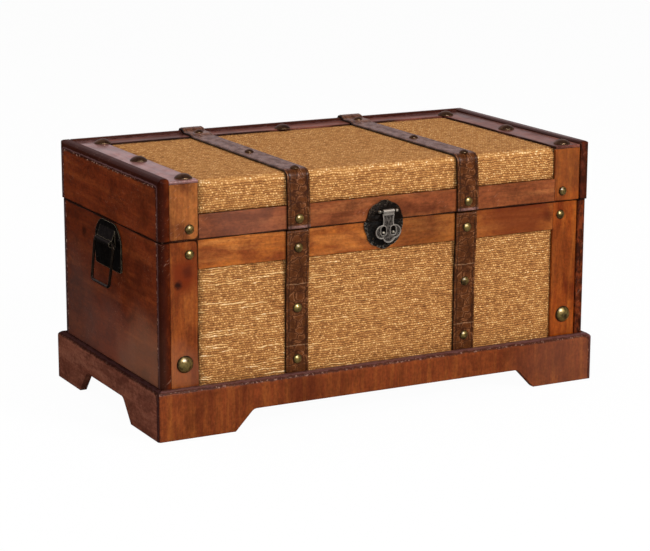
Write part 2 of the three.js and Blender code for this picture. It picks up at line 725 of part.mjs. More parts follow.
function makeHasp() {
  const faceFront = haspPinDepth - haspThickness / 2;
  const faceBack = haspPinDepth + haspThickness / 2;
  const waist = haspPinHeight - (haspBarrelRadius + haspLobe.drop - haspLobe.radius) / 2;
  const lobeLevel = haspPinHeight - haspLobe.drop;
  const outline = (shrink, from, to) => {
    const disc = (x, drop, radius) =>
      alongY(circle(x, haspPinHeight - drop, radius - shrink, 32), from, to);
    const neckTop = haspPinHeight - haspNeckDrop - shrink;
    const neck = alongY(roundCorners([
      [shrink - haspNeckTop, neckTop, edgeRound], [shrink - haspNeckWaist, waist, haspLobe.radius],
      [shrink - haspNeckTop, lobeLevel], [haspNeckTop - shrink, lobeLevel],
      [haspNeckWaist - shrink, waist, haspLobe.radius], [haspNeckTop - shrink, neckTop, edgeRound],
    ]), from, to);
    return neck
      .add(disc(-haspLobe.place, haspLobe.drop, haspLobe.radius))
      .add(disc(haspLobe.place, haspLobe.drop, haspLobe.radius))
      .add(disc(haspNose.place, haspNose.drop, haspNose.radius));
  };
  const holes = (grow, from, to) => [-1, 1].map((sign) => {
    const across = haspHole.width / 2 + grow;
    const up = haspHole.height / 2 + grow;
    const middle = haspPinHeight - haspHole.drop;
    const x = sign * haspHole.place;
    const opening = rectangle(x - across, middle - up, x + across, middle + up, across - edgeRound / 2);
    return alongY(opening, from, to);
  }).reduce((left, right) => left.add(right));
  const half = haspBarrelLength / 2;
  const joint = rectangle(-half, haspPinHeight - haspNeckDrop - overrun, half, haspPinHeight);
  const barrel = alongX(circle(haspPinDepth, haspPinHeight, haspBarrelRadius), -half, half)
    .add(alongY(joint, faceFront, faceBack));
  const plate = outline(0, faceFront, faceBack);
  const hasp = plate
    .subtract(outline(haspBorder, faceFront - overrun, faceFront + haspRelief))
    .add(holes(haspHoleRim, faceFront, faceBack))
    .subtract(holes(0, faceFront - overrun, faceBack + overrun))
    .intersect(plate)
    .add(barrel)
    .subtract(haspBore(haspBarrelLength));
  place('hasp', hasp.translate([haspPlace, 0, 0]), bronze);

  const neckAngle = Math.asin(haspPinRadius / haspBallRadius);
  const profile = [
    ...ballArc(-haspBallPlace, haspBallRadius, 0, Math.PI - neckAngle),
    ...ballArc(haspBallPlace, haspBallRadius, neckAngle, Math.PI),
  ];
  const pin = turned(profile, axisX, 12).translate(haspPlace, haspPinDepth, haspPinHeight);
  place('hasp_pin', solid(pin), bronze);
}

// Drop handles: a plate with an arched top, a rolled tongue and a wire bail that hangs in it
function makeHandles() {
  const seat = bodyHalfWidth + seatGap;
  const face = seat + handleSheet;
  const pivot = bodyHalfWidth + handleStandOff;
  const half = handlePlateWidth / 2;
  const low = handlePlateTop - handlePlateHeight;
  const outline = roundCorners([
    [-half, low, handleCorner], [half, low, handleCorner],
    [half, handlePlateTop - handleShoulder, handleShoulder],
    [half - handleShoulder, handlePlateTop, handleShoulder],
    [handleShoulder - half, handlePlateTop, handleShoulder],
    [-half, handlePlateTop - handleShoulder, handleShoulder],
  ]);
  const rollHalf = handleRollWidth / 2;
  const wire = bailRadius + bailClearance;
  const tongue = roundCorners([
    [seat, handlePivotHeight - handleRollRadius], [pivot, handlePivotHeight - handleRollRadius],
    [pivot, handlePivotHeight + handleRollRadius],
    [face, handlePivotHeight + handleShoulder], [seat, handlePivotHeight + handleShoulder],
  ]);
  const plate = alongX(outline, seat, face)
    .add(alongY(tongue, -rollHalf, rollHalf))
    .add(alongY(circle(pivot, handlePivotHeight, handleRollRadius), -rollHalf, rollHalf))
    .subtract(alongY(circle(pivot, handlePivotHeight, wire), -rollHalf - overrun, rollHalf + overrun));

  const path = roundCorners([
    [-bailTopHalf, 0, bailCorner], [-bailBottomHalf, -bailDrop, bailCorner],
    [bailBottomHalf, -bailDrop, bailCorner], [bailTopHalf, 0, bailCorner],
  ]);
  const section = circle(0, 0, bailRadius, bailSides).map((point) => [point.x, point.y]);
  const bail = solid(sweep(path, section, true).rotateY(-bailTilt).translate(pivot, 0, handlePivotHeight));
  for (const [side, sign] of sides) {
    place(`${side}_handle_plate`, plate, bronze, onSide(sign));
    place(`${side}_bail`, bail, bronze, onSide(sign));
  }
}

// Hinges on the back: the lower leaf is cranked out to the lid's overhang
function makeHinges() {
  const { y, z } = hingeAxis;
  const third = hingeWidth / 3;
  const knuckleGap = hingeBarrelRadius + hingeClearance;
  const knuckle = (from, to) => alongX(circle(y, z, hingeBarrelRadius, 16), from, to);
  const bore = alongX(circle(y, z, hingePinRadius + hingeClearance, 16), -hingeWidth, hingeWidth);
  const lidSeat = backFace.lid + seatGap;
  const bodySeat = backFace.body + seatGap;
  const upperFlat = alongX(
    rectangle(lidSeat, z + knuckleGap, lidSeat + hingeSheet, z + hingeLeafHeight),
    -hingeWidth / 2, hingeWidth / 2,
  );
  const upperTab = alongX(
    rectangle(lidSeat, z, lidSeat + hingeSheet, z + knuckleGap),
    hingeClearance - third / 2, third / 2 - hingeClearance,
  );
  const upper = upperFlat
    .add(upperTab)
    .add(knuckle(hingeClearance - third / 2, third / 2 - hingeClearance))
    .subtract(bore);

  const crankTop = z - knuckleGap;
  const lowerFlat = alongX(roundCorners([
    [bodySeat, z - hingeLeafHeight], [bodySeat + hingeSheet, z - hingeLeafHeight],
    [bodySeat + hingeSheet, crankTop - hingeCrank], [lidSeat + hingeSheet, crankTop],
    [lidSeat, crankTop], [bodySeat, crankTop - hingeCrank],
  ]), -hingeWidth / 2, hingeWidth / 2);
  const lowerTab = rectangle(lidSeat, crankTop - overrun, lidSeat + hingeSheet, z);
  const lower = [-1, 1].reduce((leaf, sign) => {
    const from = sign > 0 ? third / 2 : -hingeWidth / 2;
    const to = sign > 0 ? hingeWidth / 2 : -third / 2;
    return leaf.add(alongX(lowerTab, from, to)).add(knuckle(from, to));
  }, lowerFlat).subtract(bore);

  const pinReach = hingeWidth / 2 + hingePinProud;
  const pin = alongX(circle(y, z, hingePinRadius, 12), -pinReach, pinReach);
  for (const [side, sign] of sides) {
    const there = new THREE.Matrix4().makeTranslation(sign * hingePlace, 0, 0);
    place(`${side}_hinge_upper_leaf`, upper, bronze, there);
    place(`${side}_hinge_lower_leaf`, lower, bronze, there);
    place(`${side}_hinge_pin`, pin, bronze, there);
  }
}

// Lid stay. Its pivot and its stud are equally far from the hinge axis, so the arm
// always turns half as far as the lid does.
function makeLidStay() {
  const depth = hingeAxis.y - stayRadius * Math.cos(stayAngle);
  const pivotHeight = hingeAxis.z + stayRise;
  const studHeight = hingeAxis.z - stayRise;
  const hole = stayPostRadius + seatGap;
  const shortest = 2 * stayRise;
  const longest = 2 * stayRadius * Math.sin(stayAngle + lidOpening / 2);
  const slotTop = pivotHeight - shortest + staySlotEnd + hole;
  const slotLow = pivotHeight - longest - staySlotEnd - hole;
  const armLow = slotLow + hole - stayHalfWidth;
  const armFrom = stayStandOff - bodyEndInner;
  const armTo = armFrom + stayThickness;
  const arm = alongX(
    rectangle(
      depth - stayHalfWidth, armLow, depth + stayHalfWidth, pivotHeight + stayHalfWidth,
      stayHalfWidth - seatGap,
    ),
    armFrom, armTo,
  )
    .subtract(alongX(
      rectangle(depth - hole, slotLow, depth + hole, slotTop, hole - seatGap / 2),
      armFrom - overrun, armTo + overrun,
    ))
    .subtract(alongX(circle(depth, pivotHeight, hole), armFrom - overrun, armTo + overrun));
  place('stay_arm', arm, steel);

  const post = (wall) => turned([
    [0, wall + seatGap], [stayHeadRadius, wall + seatGap], [stayHeadRadius, armFrom - seatGap],
    [stayPostRadius, armFrom - seatGap], [stayPostRadius, armTo + seatGap],
    [stayHeadRadius, armTo + seatGap], [stayHeadRadius, armTo + seatGap + stayHeadThickness],
    [0, armTo + seatGap + stayHeadThickness],
  ], axisX, 20);
  place('stay_pivot', solid(post(-lidEndInner).translate(0, depth, pivotHeight)), steel);
  place('stay_stud', solid(post(-bodyEndInner).translate(0, depth, studHeight)), steel);
}

makePlinth();
makeBox();
makeBoxFront();
makeLidBoards();
makeLidCovering();
makeNails();
makeStraps();
makeLatchPlates();
makeHasp();
makeHandles();
makeHinges();
makeLidStay();

// The origin is at the floor under the middle of the whole outline, from the hasp to the hinges
const frontReach = haspBarrelRadius - haspPinDepth;
const backReach = Math.max(plinthHalfDepth, hingeAxis.y + hingeBarrelRadius);
chest.position.y = (frontReach - backReach) / 2;
chest.updateMatrixWorld(true);

export default chest;
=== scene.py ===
# %% [markdown]
# # A sea chest, dressed for its photograph
# The frame is the finished CAD model: fifty-nine named solids in metres, each riding on a body such as the
# lid or the hasp. This script looks after everything the eye sees: a camera, soft light, woven cloth,
# lacquered wood, embossed leather, antiqued brass and dark bronze.
#
# We start by loading the frame and laying each solid's placement into its own mesh.

# %% Load the frame
import math
from functools import partial

import bpy
from mathutils import Matrix, Vector


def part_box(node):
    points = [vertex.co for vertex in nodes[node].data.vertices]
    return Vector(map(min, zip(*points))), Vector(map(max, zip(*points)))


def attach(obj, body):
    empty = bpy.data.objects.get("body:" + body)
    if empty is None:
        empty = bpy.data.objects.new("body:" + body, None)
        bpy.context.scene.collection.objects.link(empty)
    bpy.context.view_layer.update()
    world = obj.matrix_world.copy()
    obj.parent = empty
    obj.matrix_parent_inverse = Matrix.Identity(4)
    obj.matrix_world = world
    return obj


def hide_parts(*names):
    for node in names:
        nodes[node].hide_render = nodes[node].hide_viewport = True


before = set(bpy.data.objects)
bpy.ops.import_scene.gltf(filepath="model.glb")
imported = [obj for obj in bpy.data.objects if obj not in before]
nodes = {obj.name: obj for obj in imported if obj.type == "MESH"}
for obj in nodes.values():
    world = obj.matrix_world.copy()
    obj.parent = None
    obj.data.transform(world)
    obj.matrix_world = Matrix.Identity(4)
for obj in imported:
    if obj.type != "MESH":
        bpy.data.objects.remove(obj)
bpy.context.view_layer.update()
SIDES = (("left", -1), ("right", 1))


def place_object(name, data):
    made = bpy.data.objects.new(name, data)
    bpy.context.scene.collection.objects.link(made)
    return made


# %% [markdown]
# ## Camera
# A camera can be set by eye, but a few pixels of error show at once beside the photograph. This one was
# solved from the corners, nails and long edges of the chest. It stands to the left and a little above,
# and looks 28 degrees to the right and 13 degrees down through a long lens.

# %% Place the camera
SHIFT = 0.00115  # the frame's origin is this far in front of the middle of the box
YAW, PITCH, ROLL = 0.485355, 0.23012, 0.00273
SENSOR, PIXELS_WIDE, FOCAL_PIXELS = 36.0, 650.0, 2168.5
forward = Vector((math.sin(YAW) * math.cos(PITCH), math.cos(YAW) * math.cos(PITCH), -math.sin(PITCH)))
level = Vector((math.cos(YAW), -math.sin(YAW), 0.0))
upright = level.cross(forward)
right = math.cos(ROLL) * level + math.sin(ROLL) * upright
up = math.cos(ROLL) * upright - math.sin(ROLL) * level
eye = Vector((-1.19905, -2.27394, 0.73048))

camera = place_object("camera", bpy.data.cameras.new("camera"))
camera.matrix_world = Matrix.Translation(eye) @ Matrix((right, up, -forward)).transposed().to_4x4()
camera.data.sensor_width = SENSOR
camera.data.lens = FOCAL_PIXELS * SENSOR / PIXELS_WIDE
camera.data.clip_end = 50.0
bpy.context.scene.camera = camera
bpy.context.scene.view_settings.view_transform = "Standard"
print("camera", [round(x, 3) for x in eye], "lens", round(camera.data.lens, 1), "mm")

# %% [markdown]
# ## Small helpers for node trees
# Materials and shapes are both trees of nodes here. `add` makes one node and fills its sockets, either
# with a link or with a plain value. The rest are short names for the sums that every pattern needs,
# and since a socket knows its tree, they only have to be told the values.


# %% Node helpers
def rgb(code):
    """A colour from its six-digit code, in linear light."""
    parts = [int(code[i:i + 2], 16) / 255 for i in (0, 2, 4)]
    return tuple(p / 12.92 if p <= 0.04045 else ((p + 0.055) / 1.055) ** 2.4 for p in parts) + (1.0,)


def fill(socket, value):
    if isinstance(value, bpy.types.NodeSocket):
        socket.id_data.links.new(value, socket)
    else:
        socket.default_value = value


def add(tree, kind, inputs=None, family="ShaderNode", **settings):
    made = tree.nodes.new(family + kind)
    for key, value in settings.items():
        setattr(made, key, value)
    for key, value in (inputs or {}).items():
        fill(made.inputs[key], value)
    return made


def tree_of(values):
    """The tree that is being built, found from the first socket among the values."""
    return next(value.id_data for value in values if isinstance(value, bpy.types.NodeSocket))


def calc(operation, *values):
    return add(tree_of(values), "Math", dict(enumerate(values)), operation=operation).outputs[0]


plus, minus, times, over, most, least, size_of = (partial(calc, operation) for operation in (
    "ADD", "SUBTRACT", "MULTIPLY", "DIVIDE", "MAXIMUM", "MINIMUM", "ABSOLUTE"))


def away(value, level):
    return size_of(minus(value, level))


def vector(operation, *values, output="Vector"):
    return add(tree_of(values), "VectorMath", dict(enumerate(values)), operation=operation).outputs[output]


def scaled(value, factor):
    sockets = {0: value, "Scale": factor}
    return add(tree_of(sockets.values()), "VectorMath", sockets, operation="SCALE").outputs[0]


def axes(value):
    return add(value.id_data, "SeparateXYZ", {0: value}).outputs


def point(*values):
    return add(tree_of(values), "CombineXYZ", dict(enumerate(values))).outputs[0]


def ramp(value, low, high, to_low=0.0, to_high=1.0):
    """Moves a value smoothly from one range to another."""
    sockets = {0: value, 1: low, 2: high, 3: to_low, 4: to_high}
    return add(value.id_data, "MapRange", sockets, interpolation_type="SMOOTHSTEP").outputs[0]


def mix(factor, first, second, how="MIX"):
    sockets = {0: factor, 6: first, 7: second}
    return add(tree_of(sockets.values()), "Mix", sockets, data_type="RGBA", blend_type=how).outputs[2]


def coats(colour, *layers):
    """A colour under further tones: each layer is how much it covers, and its tone."""
    for cover, tone in layers:
        colour = mix(cover, colour, rgb(tone))
    return colour


def place(where, scale=(1, 1, 1), offset=(0, 0, 0), turn=(0, 0, 0)):
    sockets = {"Vector": where, "Location": offset, "Rotation": turn, "Scale": scale}
    return add(where.id_data, "Mapping", sockets).outputs[0]


def noise(where, output=0, **sockets):
    return add(where.id_data, "TexNoise", {"Vector": where, **sockets}).outputs[output]


def grey(value):
    return add(value.id_data, "CombineColor", {0: value, 1: value, 2: value}).outputs[0]


def speckle(where, scale, detail=2.0, roughness=0.5, twist=0.0, offset=0):
    """Noise at one scale, or stretched or squeezed along each axis."""
    scale, offset = (each if isinstance(each, tuple) else (each,) * 3 for each in (scale, offset))
    where = place(where, scale, offset)
    return noise(where, Scale=1.0, Detail=detail, Roughness=roughness, Distortion=twist)


def bumpy(height, strength, distance, **more):
    sockets = {"Height": height, "Strength": strength, "Distance": distance, **more}
    return add(height.id_data, "Bump", sockets).outputs[0]


def wandering(where, scale, reach):
    """The same coordinates, pushed about by a soft noise so that no line stays straight."""
    push = noise(where, 1, Scale=scale, Detail=2.5)
    return vector("ADD", where, scaled(vector("SUBTRACT", push, (0.5, 0.5, 0.5)), reach))


def group(name, inputs, outputs, kind="ShaderNodeTree"):
    """An empty node group with sockets, named by sort; returns it, its inputs and its last node."""
    tree = bpy.data.node_groups.new(name, kind)
    for way, sockets in (("INPUT", inputs), ("OUTPUT", outputs)):
        for sort, names in sockets.items():
            for socket in names.split():
                tree.interface.new_socket(socket, in_out=way, socket_type="NodeSocket" + sort)
    return tree, tree.nodes.new("NodeGroupInput").outputs, tree.nodes.new("NodeGroupOutput")


def use(tree, made, inputs):
    return add(tree, "Group", inputs, node_tree=made).outputs


def material(name):
    """A new material with its tree, its Principled shader and the object's own coordinates."""
    made = bpy.data.materials.new(name)
    made.use_nodes = True
    tree = made.node_tree
    where = add(tree, "TexCoord").outputs["Object"]
    return made, tree, tree.nodes["Principled BSDF"], where


def set_up(node, **values):
    for key, value in values.items():
        fill(node.inputs[key.replace("_", " ")], value)


print("node helpers ready")

# %% [markdown]
# ## Worn edges
# On a real chest no edge is perfectly sharp, and stain gathers and wears there. We could bevel every
# board, but the CAD solids stay as they are, so the Bevel node rounds only the light. Where its normal
# leaves the flat one we know that an edge is near.


# %% Edge group
def make_edges():
    tree, given, end = group("edges", {"Float": "Radius"}, {"Float": "Near", "Vector": "Normal"})
    rounded_off = add(tree, "Bevel", {"Radius": given["Radius"]}, samples=6).outputs[0]
    flat = add(tree, "NewGeometry").outputs["True Normal"]
    straight = vector("DOT_PRODUCT", rounded_off, flat, output="Value")
    set_up(end, Near=ramp(straight, 1.0, 0.86), Normal=rounded_off)
    return tree


edges = make_edges()
print("edge group ready")

# %% [markdown]
# ## Wood
# The boards are stained and lacquered softwood: blotches of stain, long streaks, fine fibres and dark
# pores. An image of wood would repeat and would not reach round the edges, so the figure is grown from
# noise in the board's own space. The grain runs along X in the group, and each board turns it to suit.


# %% Wood figure
def make_wood_figure():
    sockets = {"Vector": "Vector", "Color": "Dark Middle Light", "Float": "Figure"}
    tree, given, end = group("wood_figure", sockets, {"Color": "Color", "Float": "Height Stain"})
    where, figure = given["Vector"], given["Figure"]
    stain = speckle(where, (16, 30, 30), 5.0, 0.62, 0.5)
    streaks = speckle(where, (7, 95, 95), 4.0, 0.6, 0.3)
    fibres = speckle(where, (60, 560, 560), 4.0, 0.7)
    pores = speckle(where, (110, 640, 640), 2.0, 0.6, offset=(2, 4, 6))
    mottle = speckle(where, (230, 300, 300), 3.0, 0.7, offset=(5, 2, 9))
    contour = speckle(where, (2.2, 20, 20), 1.0, 0.4, 0.9, offset=(3, 1, 5))
    rings = calc("SINE", times(contour, 95.0))
    colour = mix(ramp(stain, 0.34, 0.64), given["Dark"], given["Middle"])
    light = times(ramp(streaks, 0.40, 0.75), ramp(stain, 0.30, 0.60, 0.2, 0.65))
    colour = mix(light, colour, given["Light"])
    dark = times(ramp(rings, 0.1, 1.0, 0.0, 0.40), figure)
    dark = most(dark, ramp(pores, 0.60, 0.72, 0.0, 0.6))
    colour = mix(dark, colour, given["Dark"])
    shade = times(ramp(fibres, 0.25, 0.75, 0.84, 1.12), ramp(mottle, 0.28, 0.72, 0.80, 1.20))
    height = minus(times(fibres, 0.6), times(dark, 0.3))
    set_up(end, Color=mix(1.0, colour, grey(shade), "MULTIPLY"), Height=height, Stain=stain)
    return tree


def make_spot():
    """A knot or a stain round a point: one at its middle, falling to zero at its radius."""
    tree, given, end = group("spot", {"Vector": "Vector Centre", "Float": "Radius"}, {"Float": "Near"})
    coarse = over(1.6, given["Radius"])
    moved = wandering(given["Vector"], coarse, times(given["Radius"], 0.7))
    reach = vector("DISTANCE", moved, given["Centre"], output="Value")
    set_up(end, Near=ramp(over(reach, given["Radius"]), 1.0, 0.25))
    return tree


wood_figure = make_wood_figure()
spot = make_spot()
TURNS = {"X": (0, 0, 0), "Y": (0, 0, math.pi / 2), "Z": (0, math.pi / 2, 0)}
print("wood figure ready")

# %% [markdown]
# The finisher wiped a darker stain along the borders of the end boards, and shade is painted dark beside
# the gaps. `border` measures how far a point lies from the chosen sides of a board, and `scratches` draws
# thin pale lines in two directions, only here and there, as moving and stacking leave them. Large
# knots, stains and scuffs, and one pale patch of painted sheen, are listed: the middle, the radius, the
# strength and the tone.


# %% Marks on the boards
def border(where, ragged, low, high, sides, wobble=0.005):
    """How far a point lies from the nearest of the named sides of a box, a little uneven."""
    axis = axes(where)
    reach = None
    for side in sides:
        number = "xyz".index(side[0])
        there = minus(axis[number], low[number]) if side[1] == "-" else minus(high[number], axis[number])
        reach = there if reach is None else calc("SMOOTH_MIN", reach, there, 0.010)
    return plus(reach, times(minus(ragged, 0.5), wobble))


def scratches(where):
    thin = (ramp(speckle(place(where, turn=turn), (14, 480, 480), offset=offset), 0.66, 0.72)
            for turn, offset in (((0.3, 0.5, 0.4), 0), ((-0.8, 0.4, -0.6), 4)))
    return times(most(*thin), ramp(speckle(where, 22, offset=(8, 3, 1)), 0.45, 0.62))


def paint(name, made):
    nodes[name].data.materials.clear()
    nodes[name].data.materials.append(made)


END, FRONT, LID_FRONT, PLINTH_FRONT = -0.2803, -0.1435, -0.146, -0.155
STAIN, KNOT, CORE = "2c0d05", "621f03", "140602"
marks = {
    "body_left_end": [
        (END, 0.030, 0.205, 0.160, 0.28, "1c0a05"), (END, 0.100, 0.085, 0.110, 0.35, "46403c"),
        (END, 0.000, 0.075, 0.090, 0.28, "745248"), (END, -0.100, 0.068, 0.100, 0.40, "80604c"),
        (END, 0.079, 0.196, 0.010, 0.70, "200a03")],
    "body_left_stile": [
        (-0.251, FRONT, 0.184, 0.030, 0.85, KNOT), (-0.2585, FRONT, 0.1745, 0.007, 0.90, CORE),
        (-0.247, FRONT, 0.189, 0.010, 0.50, STAIN), (-0.255, FRONT, 0.080, 0.040, 0.20, "9a6850")],
    "body_right_stile": [(0.251, FRONT, 0.150, 0.060, 0.35, STAIN)],
    "body_top_rail": [
        (0.226, FRONT, 0.207, 0.010, 0.70, STAIN), (0.185, FRONT, 0.205, 0.080, 0.80, "5a2008"),
        (0.055, FRONT, 0.207, 0.065, 0.45, STAIN)],
    "lid_right_stile": [(0.250, LID_FRONT, 0.262, 0.060, 0.35, "5c3c20")],
    "lid_front_rail": [
        (-0.150, LID_FRONT, 0.247, 0.012, 0.40, STAIN), (-0.175, LID_FRONT, 0.238, 0.080, 0.15, "946a5c")],
    # The pale patch at the plinth front's right end is painted sheen.
    "plinth_front": [(0.270, PLINTH_FRONT, 0.030, 0.120, 0.30, "704636")]}
print(sum(map(len, marks.values())), "knots and scuffs on", len(marks), "boards")

# %% [markdown]
# One recipe paints every board. The order matters, as it does in the workshop: first the timber, then
# knots, then the wiped border with a painted highlight along its ridge, then painted shade in the seams
# and dark stain on the edges, last the chips and scratches that go through everything. The clear coat
# lies on top and keeps its gloss except in the painted seam shade and on the edges.


# %% Lacquered wood
def wood(name, grain, tones, edge=STAIN, band=None, seam_shade=None, front=None, gloss=0.4, polish=None,
         worn=0.35, figure=0.5, seed=0.0, rounding=0.0010, sheen=0.1, patchy=0.0):
    """Paints a board. `band` is a dark border with a painted highlight along its ridge, and `seam_shade` a
    line of painted shade beside a gap, with their sides and widths; `front` holds the reach and the two
    tones of the edge that faces the front, `polish` the heights between which the gloss rises and its share
    below them,
    `rounding` the reach of the dark edges, and `patchy` tells how much of the gloss is rubbed away."""
    made, tree, shader, where = material(name)
    low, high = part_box(name)
    axis = axes(where)
    turned = place(where, turn=TURNS[grain], offset=(seed, 1.7 * seed, 2.3 * seed))
    timber = {"Vector": turned, "Figure": figure}
    timber.update(zip(("Dark", "Middle", "Light"), map(rgb, tones)))
    grown = use(tree, wood_figure, timber)
    colour, shine = grown["Color"], gloss
    for *centre, radius, strength, tone in marks.get(name, ()):
        near = use(tree, spot, {"Vector": where, "Centre": centre, "Radius": radius})["Near"]
        colour = coats(colour, (times(near, strength), tone))
    rounded = use(tree, edges, {"Radius": rounding})
    near_edge = rounded["Near"]
    ragged = speckle(where, 160, 4.0, 0.7)
    flecks = speckle(where, 330, 2.0, 0.6, offset=7)
    if band:
        sides, width = band
        reach = border(where, ragged, low, high, sides)
        # Inside the dark border a thin pale line is painted along the ridge as its highlight, scaled by the
        # wear.
        rim, ridge_highlight = away(reach, width), away(reach, width - 0.0024)
        nicks = times(ramp(rim, 0.0014, 0.0004), ramp(flecks, 0.54, 0.66))
        colour = coats(colour, (ramp(reach, width + 0.0016, width - 0.0016, 0.0, 0.88), edge),
                       (ramp(rim, 0.0016, 0.0004, 0.0, 0.55), "120503"),
                       (ramp(ridge_highlight, 0.0011, 0.0002, 0.0, 0.6 * worn), "8c6a6c"),
                       (times(nicks, worn), "c49a86"))
    if front:
        outer, inner, shadowed, lit = front
        zone = times(ramp(size_of(axis[0]), outer, inner), ramp(axis[1], low.y + 0.004, low.y + 0.002))
        blotch = speckle(where, (160, 160, 90), 4.0, 0.7, offset=(1, 6, 2))
        tone = mix(ramp(blotch, 0.42, 0.62), rgb(shadowed), rgb(lit))
        colour = mix(times(zone, 0.9), colour, tone)
        shine = times(shine, ramp(axis[1], low.y + 0.004, low.y + 0.045, 0.3, 1.0))
    # Painted shade beside a gap: the wood there is darkened and loses its gloss.
    if seam_shade:
        sides, width = seam_shade
        reach = border(where, speckle(where, 14, offset=4), low, high, sides, 0.0040)
        colour = coats(colour, (ramp(reach, width, width * 0.3, 0.0, 0.85), "0c0402"))
        shine = times(shine, ramp(reach, width * 0.6, width * 1.4))
    dark_edge = times(near_edge, ramp(ragged, 0.30, 0.62, 0.10, 0.70))
    chips = times(near_edge, ramp(flecks, 0.60, 0.67))
    colour = coats(colour, (dark_edge, edge), (times(chips, worn), "c08a6c"))
    if worn > 0.5:
        colour = coats(colour, (times(scratches(where), 0.4 * worn), "a8806c"))
    if polish:
        start, full, least_shine = polish
        shine = times(shine, ramp(axis[2], start, full, least_shine, 1.0))
    shine = times(shine, ramp(near_edge, 0.0, 0.6, 1.0, 0.25))
    if patchy:
        rubbed = speckle(where, 38, 4.0, 0.6, 0.4, offset=(6, 2, 5))
        shine = times(shine, ramp(rubbed, 0.60, 0.42, 1.0 - patchy, 1.0))
    relief = plus(times(grown["Height"], 0.30), speckle(where, 28))
    bump = bumpy(relief, 0.35, 0.0006, Normal=rounded["Normal"])
    rough = plus(ramp(grown["Stain"], 0.3, 0.7, 0.32, 0.44), times(chips, 0.2))
    set_up(shader, Base_Color=colour, Roughness=rough, Specular_IOR_Level=sheen, Normal=bump,
           Coat_Weight=shine, Coat_Roughness=0.14, Coat_IOR=1.5, Coat_Normal=bump)
    paint(name, made)


print("lacquer ready")

# %% [markdown]
# ## End boards
# The four end boards are the darkest: red-brown in the middle, nearly black along the borders, with a
# rounded rim on the lid. Their narrow front edges show beside the stiles, and the ones on the right
# caught less of the dark wipe there, so they glow orange-brown.

# %% Paint the end boards
DARK_RED, BAND, RIM_BEND = ("4a1a08", "65270e", "7c3a17"), 0.0105, (0.280, 0.2925)
for count, name in enumerate(("body_left_end", "body_right_end", "lid_left_end", "lid_right_end")):
    low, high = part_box(name)
    outer, inner = max(abs(low.x), abs(high.x)), min(abs(low.x), abs(high.x))
    in_body = name.startswith("body")
    sides = ("y+",) if in_body else ("y+", "z+")
    if "left" in name:
        looks = {"front": (outer - 0.003, inner + 0.002, "3c1304", "541f07"), "gloss": 0.07, "sheen": 0.03,
                 "band": (("y-", *sides), BAND), "edge": "260b06", "polish": (*RIM_BEND, 0.18)}
    else:
        looks = {"front": (outer + 0.002, outer, "220a03", "6a2c0e" if in_body else "4c1c0c"), "gloss": 0.5,
                 "band": (sides, BAND), "polish": (*RIM_BEND, 0.35)}
    wood(name, "Y", DARK_RED, worn=0.6, figure=0.0, seam_shade=(("z+",) if in_body else ("z-",), 0.0019),
         seed=0.37 + count, **looks)
print("end boards painted")

# %% [markdown]
# ## Stiles, rails and plinth
# The battens on the front frame the cloth. Stiles grow upwards and rails lie along the front, and each
# is its own piece of timber: the same recipe with another seed and tone. The strips on top were wiped
# with a purple-brown stain and lost some of their gloss; the left strip has a paler copy of the stain, with
# its sheen painted into the colour. The plinth is plain and a little duller.

# %% Paint the battens and boards
ORANGE = ("6c3012", "a0581c", "b87638")
AMBER = ("602205", "8c400c", "a85c1c")
STILE = ("5a2208", "7e3c0f", "9a5822")
ROSE = ("562812", "7e4120", "9a5e32")
PALE = ("5e2c12", "8a4c20", "a4682e")
PLINTH = ("5a2c16", "743b18", "864b1e")
FRONT_PLINTH = ("56240e", "703213", "8a4c1c")
LEFT_PLINTH = ("4e291f", "6d3e2f", "80503f")
# A paler copy of the top strips' stain, for the left strip: its sheen is painted into the colour.
SHEEN_PURPLE = ("482622", "825049", "a46e66")
BROWN = ("3e2019", "6a3a2e", "885446")
INNER = ("5a3a22", "7b5434", "94693f")

for count, (name, grain, tones, sides, worn) in enumerate((
        ("body_left_stile", "Z", STILE, ("z+", "x+"), 0.35),
        ("body_right_stile", "Z", AMBER, ("z+",), 0.35),
        ("lid_left_stile", "Z", PALE, ("z-", "x+"), 0.6),
        ("lid_right_stile", "Z", AMBER, ("z-",), 0.35),
        ("body_top_rail", "X", ORANGE, ("z+",), 0.35),
        ("lid_front_rail", "X", ROSE, ("z-",), 0.6))):
    wood(name, grain, tones, seam_shade=(sides, 0.0013), worn=worn, seed=9.2 + 1.3 * count)
for count, (name, grain, tones, side, gloss, sheen) in enumerate((
        ("lid_left_top_strip", "Y", SHEEN_PURPLE, "x+", 1.0, 0.9),
        ("lid_right_top_strip", "Y", BROWN, "x-", 0.50, 0.1),
        ("lid_back_rail", "X", BROWN, "y-", 0.36, 0.1))):
    wood(name, grain, tones, seam_shade=((side,), 0.0006), worn=0.5, gloss=gloss, sheen=sheen, patchy=0.6,
         seed=18.3 + count)
for count, name in enumerate(("body_back_board", "lid_back_board")):
    wood(name, "X", DARK_RED, band=(("z+",), 0.006), gloss=0.3, seed=5.1 + count)
for count, (name, grain, corner, tones, looks) in enumerate((
        ("plinth_front", "Z", "x+", FRONT_PLINTH, {"worn": 0.3, "figure": 0.2}),
        ("plinth_back", "Z", "x-", PLINTH, {}),
        ("plinth_left", "Y", "y-", LEFT_PLINTH, {"edge": "241010", "gloss": 0.0, "sheen": 0.0}),
        ("plinth_right", "Y", "y-", PLINTH, {}))):
    looks = {"edge": "40201a", "gloss": 0.5, "worn": 0.1, "figure": 0.1, **looks}
    wood(name, grain, tones, band=(("z+", corner), 0.0034), polish=(0.0525, 0.0562, 0.1), rounding=0.0014,
         seed=23.1 + 1.7 * count, **looks)
for count, name in enumerate(("bottom_board", "body_front_board", "lid_front_board", "lid_top_board")):
    wood(name, "X", INNER, edge="3a2415", gloss=0.1, worn=0.1, seed=31.0 + count)
print("battens and boards painted")

# %% [markdown]
# ## Cloth
# The covering is a slubby plain weave, like grasscloth. Modelling every thread would take millions of
# faces, so the weave is drawn on the sheet's own flat map: in each cell a thread of one direction lies
# on top, the next cell swaps them, and some rows swell into slubs, thick, pale stretches of yarn.


